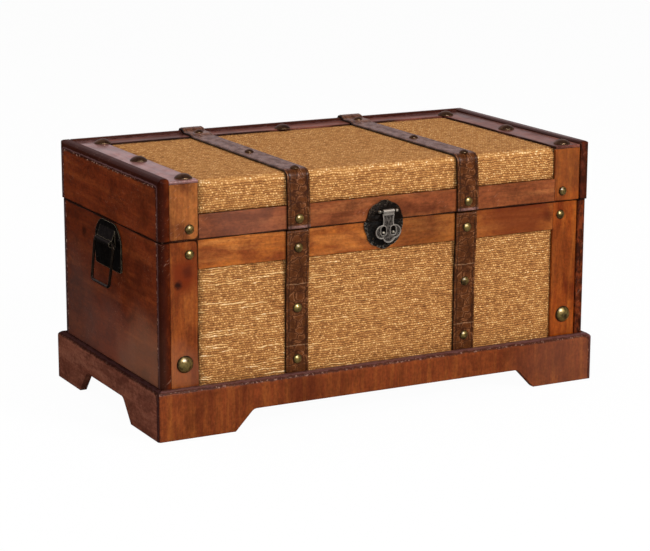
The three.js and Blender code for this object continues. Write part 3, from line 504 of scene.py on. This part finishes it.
# %% Weave group
def make_weave():
    sockets = {"Vector": "Vector", "Float": "Pitch Bright Slubs"}
    tree, given, end = group("slub_weave", sockets, {"Color": "Color", "Float": "Height"})
    moved = wandering(given["Vector"], 110.0, 0.0048)
    axis = axes(moved)
    upward = over(axis[1], given["Pitch"])
    row = calc("FLOOR", upward)
    shift = add(tree, "TexWhiteNoise", {"W": row}, noise_dimensions="1D").outputs[0]
    shift = plus(times(row, 0.5), times(shift, 0.35))
    across = plus(over(axis[0], times(given["Pitch"], 1.25)), shift)
    wave_across, wave_upward = (calc("SINE", times(calc("FRACT", at), math.pi)) for at in (across, upward))
    cell = point(calc("FLOOR", across), row)
    cell = add(tree, "TexWhiteNoise", {"Vector": cell}, noise_dimensions="2D").outputs[0]
    yarn = noise(point(times(axis[0], 19.0), times(row, 7.31)), Scale=1.0, Detail=2.0)
    slub = times(ramp(yarn, 0.48, 0.62), given["Slubs"])
    bead = times(calc("POWER", times(wave_across, wave_upward), 0.8), ramp(cell, 0.0, 1.0, 0.60, 1.0))
    thread = times(calc("POWER", wave_upward, 0.7), 0.52)
    swollen = times(slub, calc("POWER", wave_upward, 0.9))
    height = most(most(bead, thread), swollen)
    fuzz = speckle(given["Vector"], (760, 1000, 1), 3.0, 0.7)
    patch = speckle(moved, (60, 230, 1), 4.0, 0.65)
    tone = times(height, 0.46)
    for value, weight in ((cell, 0.18), (fuzz, 0.85), (patch, 0.36)):
        tone = plus(tone, times(minus(value, 0.5), weight))
    colours = add(tree, "ValToRGB", {0: plus(plus(tone, times(swollen, 0.10)), given["Bright"])})
    stops = colours.color_ramp.elements
    stops[0].position, stops[0].color = 0.10, rgb("3c200e")
    stops[1].position, stops[1].color = 0.98, rgb("ffe9c8")
    for position, code in ((0.30, "87552b"), (0.52, "b07a42"), (0.74, "d2a468")):
        stops.new(position).color = rgb(code)
    set_up(end, Color=colours.outputs[0], Height=plus(height, times(fuzz, 0.35)))
    return tree


weave = make_weave()
print("weave ready")

# %% [markdown]
# The lid's cloth has fewer slubs, and a paler line is painted where it bends over the front edge, partly
# wear and partly highlight. The bend is found from the height in the lid's own space, so the pale line
# stays put when the lid opens.


# %% Cloth materials
ROW_PITCH = 0.0027  # from one row of yarn to the next


def cloth_material(name, slubs, bright, bend=None):
    made, tree, shader, where = material(name)
    flat = add(tree, "UVMap", uv_map="flat").outputs[0]
    if bend:
        rise, (starts, full, fades, ends) = axes(where)[2], bend
        # Paler along the bend over the front edge: partly wear, partly painted highlight.
        folded = times(ramp(rise, starts, full), ramp(rise, ends, fades))
        bright = calc("MULTIPLY_ADD", folded, 0.115, bright)
    else:
        slubs = ramp(axes(flat)[0], 0.05, 0.35, slubs, 0.6 * slubs)
    woven = use(tree, weave, {"Vector": flat, "Pitch": ROW_PITCH, "Bright": bright, "Slubs": slubs})
    set_up(shader, Base_Color=woven["Color"], Roughness=0.85, Specular_IOR_Level=0.12,
           Normal=bumpy(woven["Height"], 0.9, 0.0011))
    return made


front_cloth = cloth_material("front_cloth", 1.0, 0.195)
lid_cloth = cloth_material("lid_cloth", 0.35, 0.221, bend=(0.2832, 0.2846, 0.2882, 0.2894))
print("cloth ready")

# %% [markdown]
# ## Shapes from node trees
# Cloth and straps follow a path, wire is a round section along an outline, and nails repeat. Geometry
# Nodes suit all three, because the sizes stay as named inputs. Each tree starts from a line of points,
# and `shaped` runs it once, keeps the result as a plain mesh and tells the frame where it belongs.


# %% Run a tree
def grow(tree, kind, inputs=None, output=0, **settings):
    return add(tree, kind, inputs, family="GeometryNode", **settings).outputs[output]


def shape_tree(name, **sockets):
    sockets = {"Geometry": "Start", **sockets, "Material": "Finish"}
    return group(name, sockets, {"Geometry": "Shape"}, kind="GeometryNodeTree")


def then(shape, kind, settings=None, **sockets):
    """The next step of a shape: a node whose first socket takes it."""
    sockets = {0: shape, **{key.replace("_", " "): value for key, value in sockets.items()}}
    return grow(shape.id_data, kind, sockets, **(settings or {}))


def finished(shape, given, end):
    """Every tree ends in the same three steps."""
    smooth = then(then(shape, "RealizeInstances"), "SetShadeSmooth")
    set_up(end, Shape=then(smooth, "SetMaterial", Material=given["Finish"]))
    return end.id_data


def shaped(name, body, slot, node, tree, points, **sizes):
    """Runs a tree on a line of points and hangs the piece on its body, in place of a CAD node."""
    start = bpy.data.meshes.new(name + "_start")
    start.from_pydata([tuple(p) for p in points], [(k, k + 1) for k in range(len(points) - 1)], [])
    piece = place_object(name, start)
    modifier = piece.modifiers.new("shape", "NODES")
    modifier.node_group = tree
    for socket in tree.interface.items_tree:
        if socket.in_out == "INPUT" and socket.name in sizes:
            modifier[socket.identifier] = sizes[socket.name]
    depsgraph = bpy.context.evaluated_depsgraph_get()
    made = bpy.data.meshes.new_from_object(piece.evaluated_get(depsgraph), depsgraph=depsgraph)
    piece.modifiers.clear()
    piece.data = made
    made.name = name
    bpy.data.meshes.remove(start)
    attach(piece, body)
    if node:
        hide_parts(node)
    print(name, len(made.polygons), "faces")
    return piece


def position(tree):
    return grow(tree, "InputPosition")


print("shape helpers ready")

# %% [markdown]
# ## Paths
# A path is a list of (y, z) corners in the CAD's own millimetres, some with a radius. `path` turns each
# corner into an arc, cuts the rest into short steps and moves it to the frame's metres.


# %% Paths
def in_frame(x, y, z):
    """A spot in the CAD's millimetres, in the frame's metres."""
    return x / 1000, y / 1000 + SHIFT, z / 1000


def corner_arc(before, here, after, radius, step=math.pi / 24):
    into, out = (before - here).normalized(), (after - here).normalized()
    opening = into.angle(out)
    turn = math.pi - opening
    centre = here + (into + out).normalized() * radius / math.sin(opening / 2)
    start = here + into * radius * math.tan(turn / 2) - centre
    side = 1.0 if out.cross(into) > 0 else -1.0
    steps = max(2, round(turn / step))
    return [centre + Matrix.Rotation(side * turn * k / steps, 2) @ start for k in range(steps + 1)]


def path(corners, longest=4.0):
    spots = [Vector(corner[:2]) for corner in corners]
    line = [spots[0]]
    for k in range(1, len(corners) - 1):
        rounded = len(corners[k]) > 2
        line += corner_arc(spots[k - 1], spots[k], spots[k + 1], corners[k][2]) if rounded else [spots[k]]
    line.append(spots[-1])
    fine = [line[0]]
    for here, there in zip(line, line[1:]):
        parts = max(1, math.ceil((there - here).length / longest))
        fine += [here.lerp(there, k / parts) for k in range(1, parts + 1)]
    return [Vector(in_frame(0.0, y, z)) for y, z in fine]


print("paths ready")

# %% [markdown]
# ## A sheet laid along a path
# Cloth glued to a board and a leather strap are the same thing: a flat sheet bent along a line. The tree
# lays a grid along the path twice, as the underside and lifted by the thickness, and welds the two at
# their borders. The flat grid becomes the map for the pattern. Near its long edges a strap is rounded
# and has a pressed crease.


# %% Laid sheet
CREASE_REACH, CREASE_DEPTH, WELD = 0.0006, 0.0004, 0.000002


def make_laid_sheet():
    tree, given, end = shape_tree("laid_sheet", Float="Width Thick Round Crease Middle Step", Int="Columns")
    line = then(given["Start"], "MeshToCurve")
    width, length = given["Width"], then(line, "CurveLength")
    rows = calc("CEIL", over(length, given["Step"]))
    wide = over(width, minus(given["Columns"], 1.0))
    long = over(length, rows)
    grid = grow(tree, "MeshGrid", {"Size X": calc("MULTIPLY_ADD", wide, 2.0, width),
                                   "Size Y": calc("MULTIPLY_ADD", long, 2.0, length),
                                   "Vertices X": plus(given["Columns"], 2.0),
                                   "Vertices Y": plus(rows, 3.0)})
    axis = axes(position(tree))
    half, half_length = times(width, 0.5), times(length, 0.5)
    flat = point(plus(axis[0], half), plus(axis[1], half_length))
    grid = then(grid, "StoreNamedAttribute", {"data_type": "FLOAT2", "domain": "CORNER"}, Name="flat",
                Value=flat)
    inside = (calc("LESS_THAN", size_of(along), calc("MULTIPLY_ADD", cell, 0.5, border_at))
              for along, cell, border_at in ((axis[0], wide, half), (axis[1], long, half_length)))
    x = most(least(axis[0], half), times(half, -1.0))
    at = most(least(plus(axis[1], half_length), length), 0.0)
    sample = add(tree, "SampleCurve", {"Curves": line, "Length": at}, family="GeometryNode",
                 mode="LENGTH").outputs
    under = vector("ADD", sample["Position"], point(plus(x, given["Middle"])))
    outward = vector("CROSS_PRODUCT", (1.0, 0.0, 0.0), sample["Tangent"])
    edge = minus(half, size_of(x))
    fall = minus(1.0, least(1.0, over(edge, given["Round"])))
    fall = times(times(fall, fall), given["Round"])
    crease = most(minus(1.0, over(away(edge, given["Crease"]), CREASE_REACH)), 0.0)
    rise = minus(minus(given["Thick"], fall), times(crease, CREASE_DEPTH))
    lifted = vector("ADD", under, scaled(outward, times(rise, times(*inside))))
    bottom = then(then(grid, "SetPosition", Position=under), "FlipFaces")
    both = add(tree, "JoinGeometry", family="GeometryNode")
    for layer in (then(grid, "SetPosition", Position=lifted), bottom):
        fill(both.inputs[0], layer)
    return finished(then(both.outputs[0], "MergeByDistance", Distance=WELD), given, end)


laid_sheet = make_laid_sheet()
print("laid sheet ready")

# %% [markdown]
# ## Cloth panels
# The levels repeat the CAD's: how deep each layer lies behind the edges of the end boards. One panel is
# glued to the front of the box and one is stretched from the front of the lid over its top.

# %% Levels and cloth panels
GAP = 0.3
BODY = {"batten": -144.7, "board": -140.4, "cloth": -141.9}
LID = {"batten": -147.1, "board": -142.8, "cloth": -144.3}
PLINTH_TOP, BODY_TOP, LID_BOTTOM = 57.8, 223.8, 224.6
RAIL_BOTTOM, LID_RAIL_TOP = 190.0, 252.0
TOP_BOARD, BATTEN_TOP, RIM_TOP = 288.0, 291.7, 295.2
BACK_RAIL, BACK_INNER, BACK_FACE = 113.9, 138.4, 148.4
CLOTH_WIDTH, CLOTH_THICK = 0.4674, 0.0012

on_board, on_lid_board, lying = BODY["board"] - GAP, LID["board"] - GAP, TOP_BOARD + GAP
front_panel = path([(on_board, 28.0), (on_board, RAIL_BOTTOM - GAP)], 6.0)
lid_panel = path([(on_lid_board, LID_RAIL_TOP + GAP), (on_lid_board, lying, 5.3),
                  (BACK_RAIL - GAP, lying)], 6.0)
for name, body, node, line, finish, board in (
        ("front_cloth", "chest", "body_front_cloth", front_panel, front_cloth, "body_front_board"),
        ("lid_covering", "lid", "lid_cloth", lid_panel, lid_cloth, "lid_top_board")):
    piece = shaped(name, body, "cloth", node, laid_sheet, line, Finish=finish, Width=CLOTH_WIDTH,
                   Thick=CLOTH_THICK, Round=0.0003, Crease=-1.0, Middle=0.0, Columns=41, Step=0.006)

# %% [markdown]
# ## Leather
# The straps are folded leather with a large embossed scale pattern, darkened by handling. The pattern
# is a cell noise on the strap's flat map: cell borders are pressed in and painted darker, and here and
# there a border is rubbed pale. Folds across the strap show as thin light lines, and painted shade
# follows the pressed crease near each long edge.


# %% Leather
STRAP, STRAP_WIDTH, STRAP_THICK, CREASE = 111.009, 0.029, 0.003, 0.0036
FOLDS, FLARE_HIGHLIGHT, STRAP_BEND = (0.0885, 0.1605), 0.2274, (0.285, 0.2885)  # heights on the chest


def leather_material():
    made, tree, shader, where = material("embossed_leather")
    flat = add(tree, "UVMap", uv_map="flat").outputs[0]
    moved = wandering(flat, 120.0, 0.008)
    tiled = {"Vector": place(moved, (80, 120, 1)), "Scale": 1.0, "Randomness": 0.9}
    scales = add(tree, "TexVoronoi", tiled, feature="DISTANCE_TO_EDGE").outputs["Distance"]
    cell = add(tree, "SeparateColor", {0: add(tree, "TexVoronoi", tiled).outputs["Color"]}).outputs[0]
    fine = speckle(flat, (760, 760, 1), 3.0, 0.7)
    wear = speckle(flat, (90, 60, 1), 4.0, 0.7)
    axis = axes(where)
    wavy = (calc("MULTIPLY_ADD", wear, 0.004, height - 0.002) for height in FOLDS)
    folds = (ramp(away(axis[2], height), 0.0007, 0.0002) for height in wavy)
    # A pale band is painted round the lid strap's flared end as its highlight, broken up by the wear noise.
    flare_highlight = ramp(away(axis[2], FLARE_HIGHLIGHT), 0.0022, 0.0008, 0.0, 0.6)
    off = away(size_of(axis[0]), STRAP / 1000)
    # The pressed crease near each long edge is painted dark as its shade, and the strap's very edges are
    # darkened with it.
    crease_shade = ramp(away(off, STRAP_WIDTH / 2 - CREASE), 0.0010, 0.0003, 0.0, 0.55)
    rim = ramp(off, STRAP_WIDTH / 2 - 0.0006, STRAP_WIDTH / 2 - 0.0001)
    beside = ramp(away(scales, 0.11), 0.05, 0.01)
    colour = coats(mix(ramp(wear, 0.34, 0.68), rgb("3a1a07"), rgb("5f3110")),
                   (ramp(cell, 0.0, 1.0, 0.0, 0.45), "472409"),
                   (ramp(fine, 0.52, 0.70, 0.0, 0.4), "7c481e"),
                   (ramp(fine, 0.48, 0.32, 0.0, 0.5), "2a1205"),
                   (ramp(scales, 0.08, 0.0, 0.0, 0.55), "220d03"),
                   (times(beside, ramp(wear, 0.42, 0.62, 0.0, 0.45)), "966644"),
                   (times(most(*folds), ramp(fine, 0.3, 0.5, 0.10, 0.40)), "a07c5c"),
                   (times(flare_highlight, ramp(wear, 0.40, 0.55, 0.4, 1.0)), "8c6a66"),
                   (most(crease_shade, rim), "120804"))
    relief = plus(ramp(scales, 0.0, 0.14), times(fine, 0.25))
    shine = times(ramp(axis[2], *STRAP_BEND, 0.12, 0.85), ramp(wear, 0.38, 0.58, 0.35, 1.0))
    set_up(shader, Base_Color=colour, Roughness=ramp(fine, 0.3, 0.7, 0.34, 0.48), Specular_IOR_Level=0.12,
           Normal=bumpy(relief, 0.6, 0.0004), Coat_Weight=shine, Coat_Roughness=0.22)
    return made


leather = leather_material()
print("leather ready")

# %% [markdown]
# ## Straps
# Two straps run up the front of the box, and two go over the lid and down its back. On the front they
# climb in a long slope from the cloth onto the rails, and each lid strap flares a little at its end,
# where a pale band is painted on as its highlight.

# %% Straps
on_rail, on_cloth = BODY["batten"] - GAP, BODY["cloth"] - GAP
body_line = path([(on_cloth, PLINTH_TOP - 6), (on_cloth, 150.0, 40), (on_rail, RAIL_BOTTOM + 2, 40),
                  (on_rail, BODY_TOP - 0.6)])
on_front, on_lid, on_top = LID["batten"] - GAP, LID["cloth"] - GAP, TOP_BOARD + 3 * GAP + 0.9
on_back_rail, on_rim, behind = BATTEN_TOP + GAP, RIM_TOP + GAP, BACK_FACE + GAP
lid_line = path([
    (on_front - 0.9, LID_BOTTOM + 0.6), (on_front, LID_BOTTOM + 6.5, 12), (on_front, LID_RAIL_TOP, 40),
    (on_lid, on_top, 6.8), (BACK_RAIL - 6, on_top, 6), (BACK_RAIL, on_back_rail, 6),
    (BACK_INNER - 6, on_back_rail, 6), (BACK_INNER, on_rim, 3), (behind, on_rim, 5), (behind, on_rim - 36)])
for side, sign in SIDES:
    for part, body, line in (("body", "chest", body_line), ("lid", "lid", lid_line)):
        shaped(side + "_" + part + "_strap_leather", body, "strap_leather", part + "_" + side + "_strap",
               laid_sheet, line, Finish=leather, Width=STRAP_WIDTH, Thick=STRAP_THICK, Round=0.0013,
               Crease=CREASE, Middle=sign * STRAP / 1000, Columns=59, Step=0.003)

# %% [markdown]
# ## Metal
# Two finishes: brass that has been darkened and rubbed bright again, and a bronze plating that is nearly
# black with paler worn edges. One recipe serves both. `proud` tells from where to where the parts that
# stand out to the front are rubbed pale, `hammered` is the depth of the dents of a beaten plate, and
# `rim` an oval whose border is worn in flecks. A `shaded_foot` dome has painted shade along its foot.


# %% Metal materials
LATCH_OVAL = (219.3, 25.5, 29.0)  # the height of its middle, and half its width and height


def metal(name, dark, bright, rubbed, roughness, relief=0.0002, coat=0.0, pure=1.0, proud=None, grain=420.0,
          hammered=0.0, rim=None, edge_wear=1.0, shaded_foot=False, sheen=0.5):
    made, tree, shader, where = material(name)
    patches = speckle(where, grain / 3, 4.0, 0.65)
    fine = speckle(where, grain * 3, 3.0, 0.7)
    rounded = use(tree, edges, {"Radius": 0.0007})
    wear = times(rounded["Near"], edge_wear)
    axis = axes(where)
    if proud:
        wear = most(wear, ramp(axis[1], *proud))
    wear = times(wear, ramp(fine, 0.35, 0.60, 0.25, 1.0))
    if rim:
        middle, half_wide, half_tall = (size / 1000 for size in rim)
        across, upward = over(axis[0], half_wide), over(minus(axis[2], middle), half_tall)
        reach = vector("LENGTH", point(across, upward), output="Value")
        flecks = ramp(speckle(where, 520, 3.0, 0.6), 0.50, 0.62)
        wear = most(wear, times(times(ramp(reach, 0.80, 0.95), flecks), 0.45))
    colour = coats(mix(ramp(patches, 0.35, 0.68), rgb(dark), rgb(bright)), (wear, rubbed))
    # Painted shade: a dark ring along the foot of the dome.
    if shaded_foot:
        share = add(tree, "Attribute", attribute_name="dome").outputs["Fac"]
        colour = coats(colour, (ramp(share, 0.55, 0.15, 0.0, 0.92), "1a0e06"))
    bump = bumpy(plus(patches, times(fine, 0.3)), 0.6, relief, Normal=rounded["Normal"])
    if hammered:
        cells = {"Vector": where, "Scale": 330.0, "Smoothness": 0.6}
        dents = add(tree, "TexVoronoi", cells, feature="SMOOTH_F1").outputs["Distance"]
        bump = bumpy(dents, 0.8, hammered, Normal=bump)
    rough = ramp(patches, 0.3, 0.7, roughness + 0.12, roughness - 0.06)
    set_up(shader, Base_Color=colour, Roughness=rough, Metallic=pure, Specular_IOR_Level=sheen, Normal=bump,
           Coat_Weight=coat, Coat_Roughness=0.2)
    return made


brass = metal("antiqued_brass", "503c1c", "ac9352", "e8dcb2", 0.42, relief=0.00012, coat=0.9, pure=0.8,
              shaded_foot=True)
dull_brass = metal("dull_brass", "3a2216", "60442e", "b09c76", 0.34, relief=0.00012, pure=0.8)
bronze = metal("dark_bronze", "0c0a09", "1c1916", "6e6454", 0.40, pure=0.8, hammered=0.0004)
plate_bronze = metal("plate_bronze", "100a07", "261b13", "6c5c48", 0.38, pure=0.8, hammered=0.0007,
                     rim=LATCH_OVAL, edge_wear=0.5)
# On the handle plate the pale edges are partly wear and partly painted highlight.
handle_bronze = metal("handle_bronze", "050302", "0d0805", "a8987e", 0.42, pure=0.2, hammered=0.0002,
                      sheen=0.05)
wire_bronze = metal("wire_bronze", "140e09", "35281d", "98866e", 0.32, pure=0.7)
hasp_bronze = metal("hasp_bronze", "14110f", "7c7269", "b8aea2", 0.36, relief=0.0007, coat=0.3, pure=0.7,
                    proud=(-0.15458, -0.15482), grain=1500.0, edge_wear=0.7)
stud_bronze = metal("stud_bronze", "0e0a07", "261e17", "b8ad9c", 0.36, coat=0.4, pure=0.6, hammered=0.0007,
                    proud=(-0.1515, -0.1530), rim=LATCH_OVAL, edge_wear=0.4)
pin_bronze = metal("pin_bronze", "574f44", "9c9282", "f0e6d4", 0.34, coat=0.6, pure=0.7)
steel = metal("dull_steel", "4a4436", "8a8169", "b9b092", 0.34)
for name in nodes:
    if name.startswith("stay_"):
        paint(name, steel)
    elif "hinge" in name or "handle_plate" in name:
        paint(name, bronze if "hinge" in name else handle_bronze)
for name, finish in (("hasp", hasp_bronze), ("hasp_pin", pin_bronze), ("latch_upper_plate", plate_bronze),
                     ("latch_lower_plate", stud_bronze)):
    paint(name, finish)
print("metals ready")

# %% [markdown]
# ## Dome nails
# Upholstery nails are pressed brass domes with a narrow lip, 11 mm or 20 mm across, and screws and pins
# have the same form at another size. The tree bends a unit sphere into one head: its upper half becomes
# the dome, the rest the lip and a flat underside. Instances of it stand on every point, facing outwards,
# and a little noise dents them so that no two shine alike.


# %% Dome head tree
def make_dome_heads():
    tree, given, end = shape_tree("dome_heads", Float="Radius Height Lip Seed", Vector="Facing")
    radius = given["Radius"]
    tall = minus(given["Height"], given["Lip"])
    squares = calc("MULTIPLY_ADD", radius, radius, times(tall, tall))
    ball = over(squares, times(tall, 2.0))
    reach = calc("ARCSINE", least(over(radius, ball), 1.0))
    sphere = grow(tree, "MeshUVSphere", {"Segments": 36, "Rings": 22, "Radius": 1.0})
    axis = axes(position(tree))
    polar = over(calc("ARCCOSINE", axis[2]), math.pi / 2)
    angle = times(least(polar, 1.0), reach)
    below = most(minus(polar, 1.0), 0.0)
    inward = least(over(minus(1.0, below), 0.8), 1.0)
    off = times(times(ball, calc("SINE", angle)), inward)
    crown = calc("MULTIPLY_ADD", ball, calc("COSINE", angle), minus(given["Height"], ball))
    lip = times(given["Lip"], least(over(below, 0.2), 1.0))
    flat_reach = vector("LENGTH", point(axis[0], axis[1]), output="Value")
    spread = over(off, most(flat_reach, 1e-6))
    bent = point(times(axis[0], spread), times(axis[1], spread), minus(crown, lip))
    head = then(sphere, "SetPosition", Position=bent)
    share = over(axes(position(tree))[2], given["Height"])
    head = then(head, "StoreNamedAttribute", Name="dome", Value=share)
    turn = add(tree, "AlignRotationToVector", {"Vector": given["Facing"]}, family="FunctionNode").outputs[0]
    heads = then(given["Start"], "InstanceOnPoints", Instance=head, Rotation=turn)
    dent = noise(vector("ADD", position(tree), point(given["Seed"])), Scale=260.0, Detail=1.0)
    dome = grow(tree, "InputNamedAttribute", {"Name": "dome"}, output="Attribute", data_type="FLOAT")
    dent = times(times(minus(dent, 0.9), times(radius, 0.05)), dome)
    heads = then(then(heads, "RealizeInstances"), "SetPosition", Offset=scaled(given["Facing"], dent))
    return finished(heads, given, end)


dome_heads = make_dome_heads()
print("dome heads ready")

# %% [markdown]
# The CAD holds the large nails and those on the stiles. Each is replaced by a head of the same size on
# the same spot; the small nails of the straps are set out here. Nails on top of the lid are duller.


# %% Nails
UP, TO_THE_FRONT, ON_STRAP = (0, 0, 1), (0, -1, 0), 3  # the last is a strap's thickness, in millimetres


def heads(name, body, points, finish, facing, radius, height, lip=0.0005, slot="nail_brass", node=None):
    shaped(name, body, slot, node, dome_heads, points, Finish=finish, Radius=radius, Height=height,
           Lip=lip, Facing=facing, Seed=0.37 * len(name) + points[0][0])


for name in nodes:
    if name.endswith("_nail"):
        low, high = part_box(name)
        middle, radius = (low + high) / 2, (high.x - low.x) / 2
        body = "lid" if name.startswith("lid") else "chest"
        if high.z - low.z < radius:
            setting = [(middle.x, middle.y, low.z)], dull_brass, UP, radius, high.z - low.z
        else:
            setting = [(middle.x, high.y, middle.z)], brass, TO_THE_FRONT, radius, high.y - low.y
        heads(name + "_head", body, *setting, node=name)

SMALL = (0.0055, 0.0035)
for side, sign, levels in (("left", -1, (203.0, 132.5, 72.5)), ("right", 1, (205.5, 139.97, 74.0))):
    climbing = [(face - ON_STRAP, z) for face, z in zip((on_rail, on_cloth, on_cloth), levels)]
    on_lid_top = [(y, z + ON_STRAP) for y, z in ((-138.0, on_top), (-20.9, on_top), (120.4, on_back_rail))]
    for part, body, finish, facing, spots in (
            ("body", "chest", brass, TO_THE_FRONT, climbing),
            ("lid", "lid", brass, TO_THE_FRONT, [(on_front - ON_STRAP, 236.8)]),
            ("top", "lid", dull_brass, UP, on_lid_top)):
        spots = [in_frame(sign * STRAP, y, z) for y, z in spots]
        heads(side + "_" + part + "_strap_nails", body, spots, finish, facing, *SMALL)
print("nails set")

# %% [markdown]
# ## Drop handles
# The bail is 4 mm wire bent to a trapezium, hanging seven degrees away from the board, and its top bar
# lies in the rolled tongue of the plate. The tree draws the trapezium, rounds its corners, runs a round
# section along it and stands the result up at its place.


# %% Wire tree
def make_wire_bail():
    tree, given, end = shape_tree("wire_bail", Float="Top Bottom Drop Bend Wire", Vector="Rise Middle")
    outline = grow(tree, "CurvePrimitiveQuadrilateral", {
        "Height": given["Drop"], "Bottom Width": given["Bottom"], "Top Width": given["Top"], "Offset": 0.0,
    }, mode="TRAPEZOID")
    outline = then(outline, "FilletCurve", {"mode": "POLY"}, Radius=given["Bend"], Count=7)
    ring = grow(tree, "CurvePrimitiveCircle", {"Resolution": 16, "Radius": given["Wire"]})
    bail = then(outline, "CurveToMesh", Profile_Curve=ring)
    axis, sideways = axes(position(tree)), (0.0, 1.0, 0.0)
    out_of_plane = vector("CROSS_PRODUCT", sideways, given["Rise"])
    stood = given["Middle"]
    for number, way in enumerate((sideways, given["Rise"], out_of_plane)):
        stood = vector("ADD", stood, scaled(way, axis[number]))
    return finished(then(bail, "SetPosition", Position=stood), given, end)


wire_bail = make_wire_bail()
print("wire tree ready")

# %% Bails
TILT, DROP, BAR_OFFSET, BAR_HEIGHT = math.radians(7), 0.049, 0.2863, 0.199
for side, sign in SIDES:
    rise = (-sign * math.sin(TILT), 0.0, math.cos(TILT))
    top = Vector((sign * BAR_OFFSET, SHIFT, BAR_HEIGHT))
    shaped(side + "_bail_wire", side + "_bail", "dark_bronze", side + "_bail", wire_bail,
           [(0, 0, 0), (0, 0, 1)], Finish=wire_bronze, Top=0.058, Bottom=0.052, Drop=DROP, Bend=0.005,
           Wire=0.0017, Rise=rise, Middle=tuple(top - Vector(rise) * DROP / 2))

# %% [markdown]
# ## Small fixings
# Pins hold the latch and the handle plates, and round-headed screws hold the hinges. They are the same
# domes at a few millimetres, so the tree of the nails makes them too.

# %% Pins and screws
MEETING, CLEAR, PIN_RING = 224.2, 4, (19.5, 22.5)  # where lid and box meet; the ring's half sizes
BULGE, LATCH_THICK, PLATE_THICK, END_FACE, HINGE = 3.0, 1.0, 1.3, 280.3, 170.3
PIN, HANDLE_PIN, SCREW = (0.0017, 0.0011, 0.0002), (0.0022, 0.0013, 0.0002), (0.0026, 0.0012, 0.0002)
middle, half_wide, half_tall = LATCH_OVAL
pins = {"lid": [], "chest": []}
for k in range(8):
    x, z = PIN_RING[0] * math.sin(math.pi / 4 * k), middle + PIN_RING[1] * math.cos(math.pi / 4 * k)
    if abs(z - MEETING) >= CLEAR:
        body, levels = ("lid", LID) if z > MEETING else ("chest", BODY)
        bulge = BULGE * (1 - (x / half_wide) ** 2 - ((z - middle) / half_tall) ** 2)
        pins[body].append(in_frame(x, levels["batten"] - GAP - bulge - LATCH_THICK, z))
for body, spots in pins.items():
    heads("latch_pins_" + body, body, spots, wire_bronze, TO_THE_FRONT, *PIN, "dark_bronze")
for side, sign in SIDES:
    face = sign * (END_FACE + GAP + PLATE_THICK)
    spots = [in_frame(face, y, z) for y in (-33.0, 33.0) for z in (172.5, 205.0)]
    heads(side + "_handle_pins", "chest", spots, bronze, (sign, 0, 0), *HANDLE_PIN, "dark_bronze")
    for body, back, outer, inner in (("lid", BACK_FACE, 242.0, 236.0), ("chest", 146.0, 205.0, 211.0)):
        spots = [in_frame(sign * HINGE + x, back + GAP + PLATE_THICK, z)
                 for x, z in ((-14.0, outer), (0.0, inner), (14.0, outer))]
        heads(side + "_hinge_screws_" + body, body, spots, bronze, (0, 1, 0), *SCREW, "dark_bronze")
print("fixings made")

# %% [markdown]
# ## Light and floor
# The photograph is a cut-out on white, lit by a large soft light from the front right, with weaker fill
# from the left and above. One more lamp is seen only in the gloss: it draws the glint in every nail and
# the light line over the bends. Floor and backdrop are white to the camera, softly bright to everything
# else, and a little red in the gloss, as the lacquer is.


# %% Lamps
aim = Vector((0.0, 0.0, 0.15))
KEY, GLINT = (Vector(way).normalized() for way in ((0.457, -0.754, 0.44), (-0.05, -0.83, 0.56)))
for name, offset, power, width, height, in_gloss in (
        ("key_light", 4.2 * KEY, 170.0, 1.6, 1.45, False),
        ("left_fill", Vector((-2.4, -0.9, 1.1)), 22.0, 1.8, 1.4, False),
        ("top_fill", Vector((-0.2, 0.3, 2.6)), 40.0, 2.0, 2.0, False),
        ("front_fill", Vector((-0.9, -2.6, 0.7)), 13.0, 1.8, 1.2, False),
        ("glint", 3.0 * GLINT, 105.0, 1.5, 1.0, True)):
    lamp = bpy.data.lights.new(name, "AREA")
    lamp.shape = "RECTANGLE"
    lamp.size, lamp.size_y, lamp.energy = width, height, power
    hung = place_object(name, lamp)
    hung.location = aim + offset
    hung.rotation_euler = (aim - hung.location).to_track_quat("-Z", "Y").to_euler()
    hung.visible_glossy, hung.visible_diffuse = in_gloss, not in_gloss
print("lamps hung")

# %% Floor and backdrop
floor_mesh = bpy.data.meshes.new("floor")
floor_mesh.from_pydata([(-8, -8, 0), (8, -8, 0), (8, 8, 0), (-8, 8, 0)], [], [(0, 1, 2, 3)])
floor = place_object("floor", floor_mesh)
floor_material, tree, shader, _ = material("studio_floor")
rays = add(tree, "LightPath").outputs
dim = calc("MULTIPLY_ADD", rays["Is Glossy Ray"], -0.76, 0.80)
set_up(shader, Base_Color=grey(dim), Roughness=0.9, Specular_IOR_Level=0.1)
white = add(tree, "Emission", {"Color": (1, 1, 1, 1), "Strength": 1.0}).outputs[0]
seen = times(rays["Is Camera Ray"], 0.97)
both = add(tree, "MixShader", {0: seen, 1: shader.outputs[0], 2: white}).outputs[0]
set_up(tree.nodes["Material Output"], Surface=both)
floor_mesh.materials.append(floor_material)

world = bpy.data.worlds.new("studio")
world.use_nodes = True
bpy.context.scene.world = world
sky = world.node_tree
backdrop = sky.nodes["Background"]
rays = add(sky, "LightPath").outputs
tint = mix(rays["Is Glossy Ray"], (1.0, 0.98, 0.98, 1.0), (1.0, 0.80, 0.82, 1.0))
way = axes(add(sky, "TexCoord").outputs["Generated"])
behind_chest = times(ramp(way[1], 0.0, 0.8), ramp(way[2], -0.05, 0.25))
soft = calc("MULTIPLY_ADD", behind_chest, 0.56, 0.05)
set_up(backdrop, Color=tint, Strength=most(soft, rays["Is Camera Ray"]))
print("stage set")
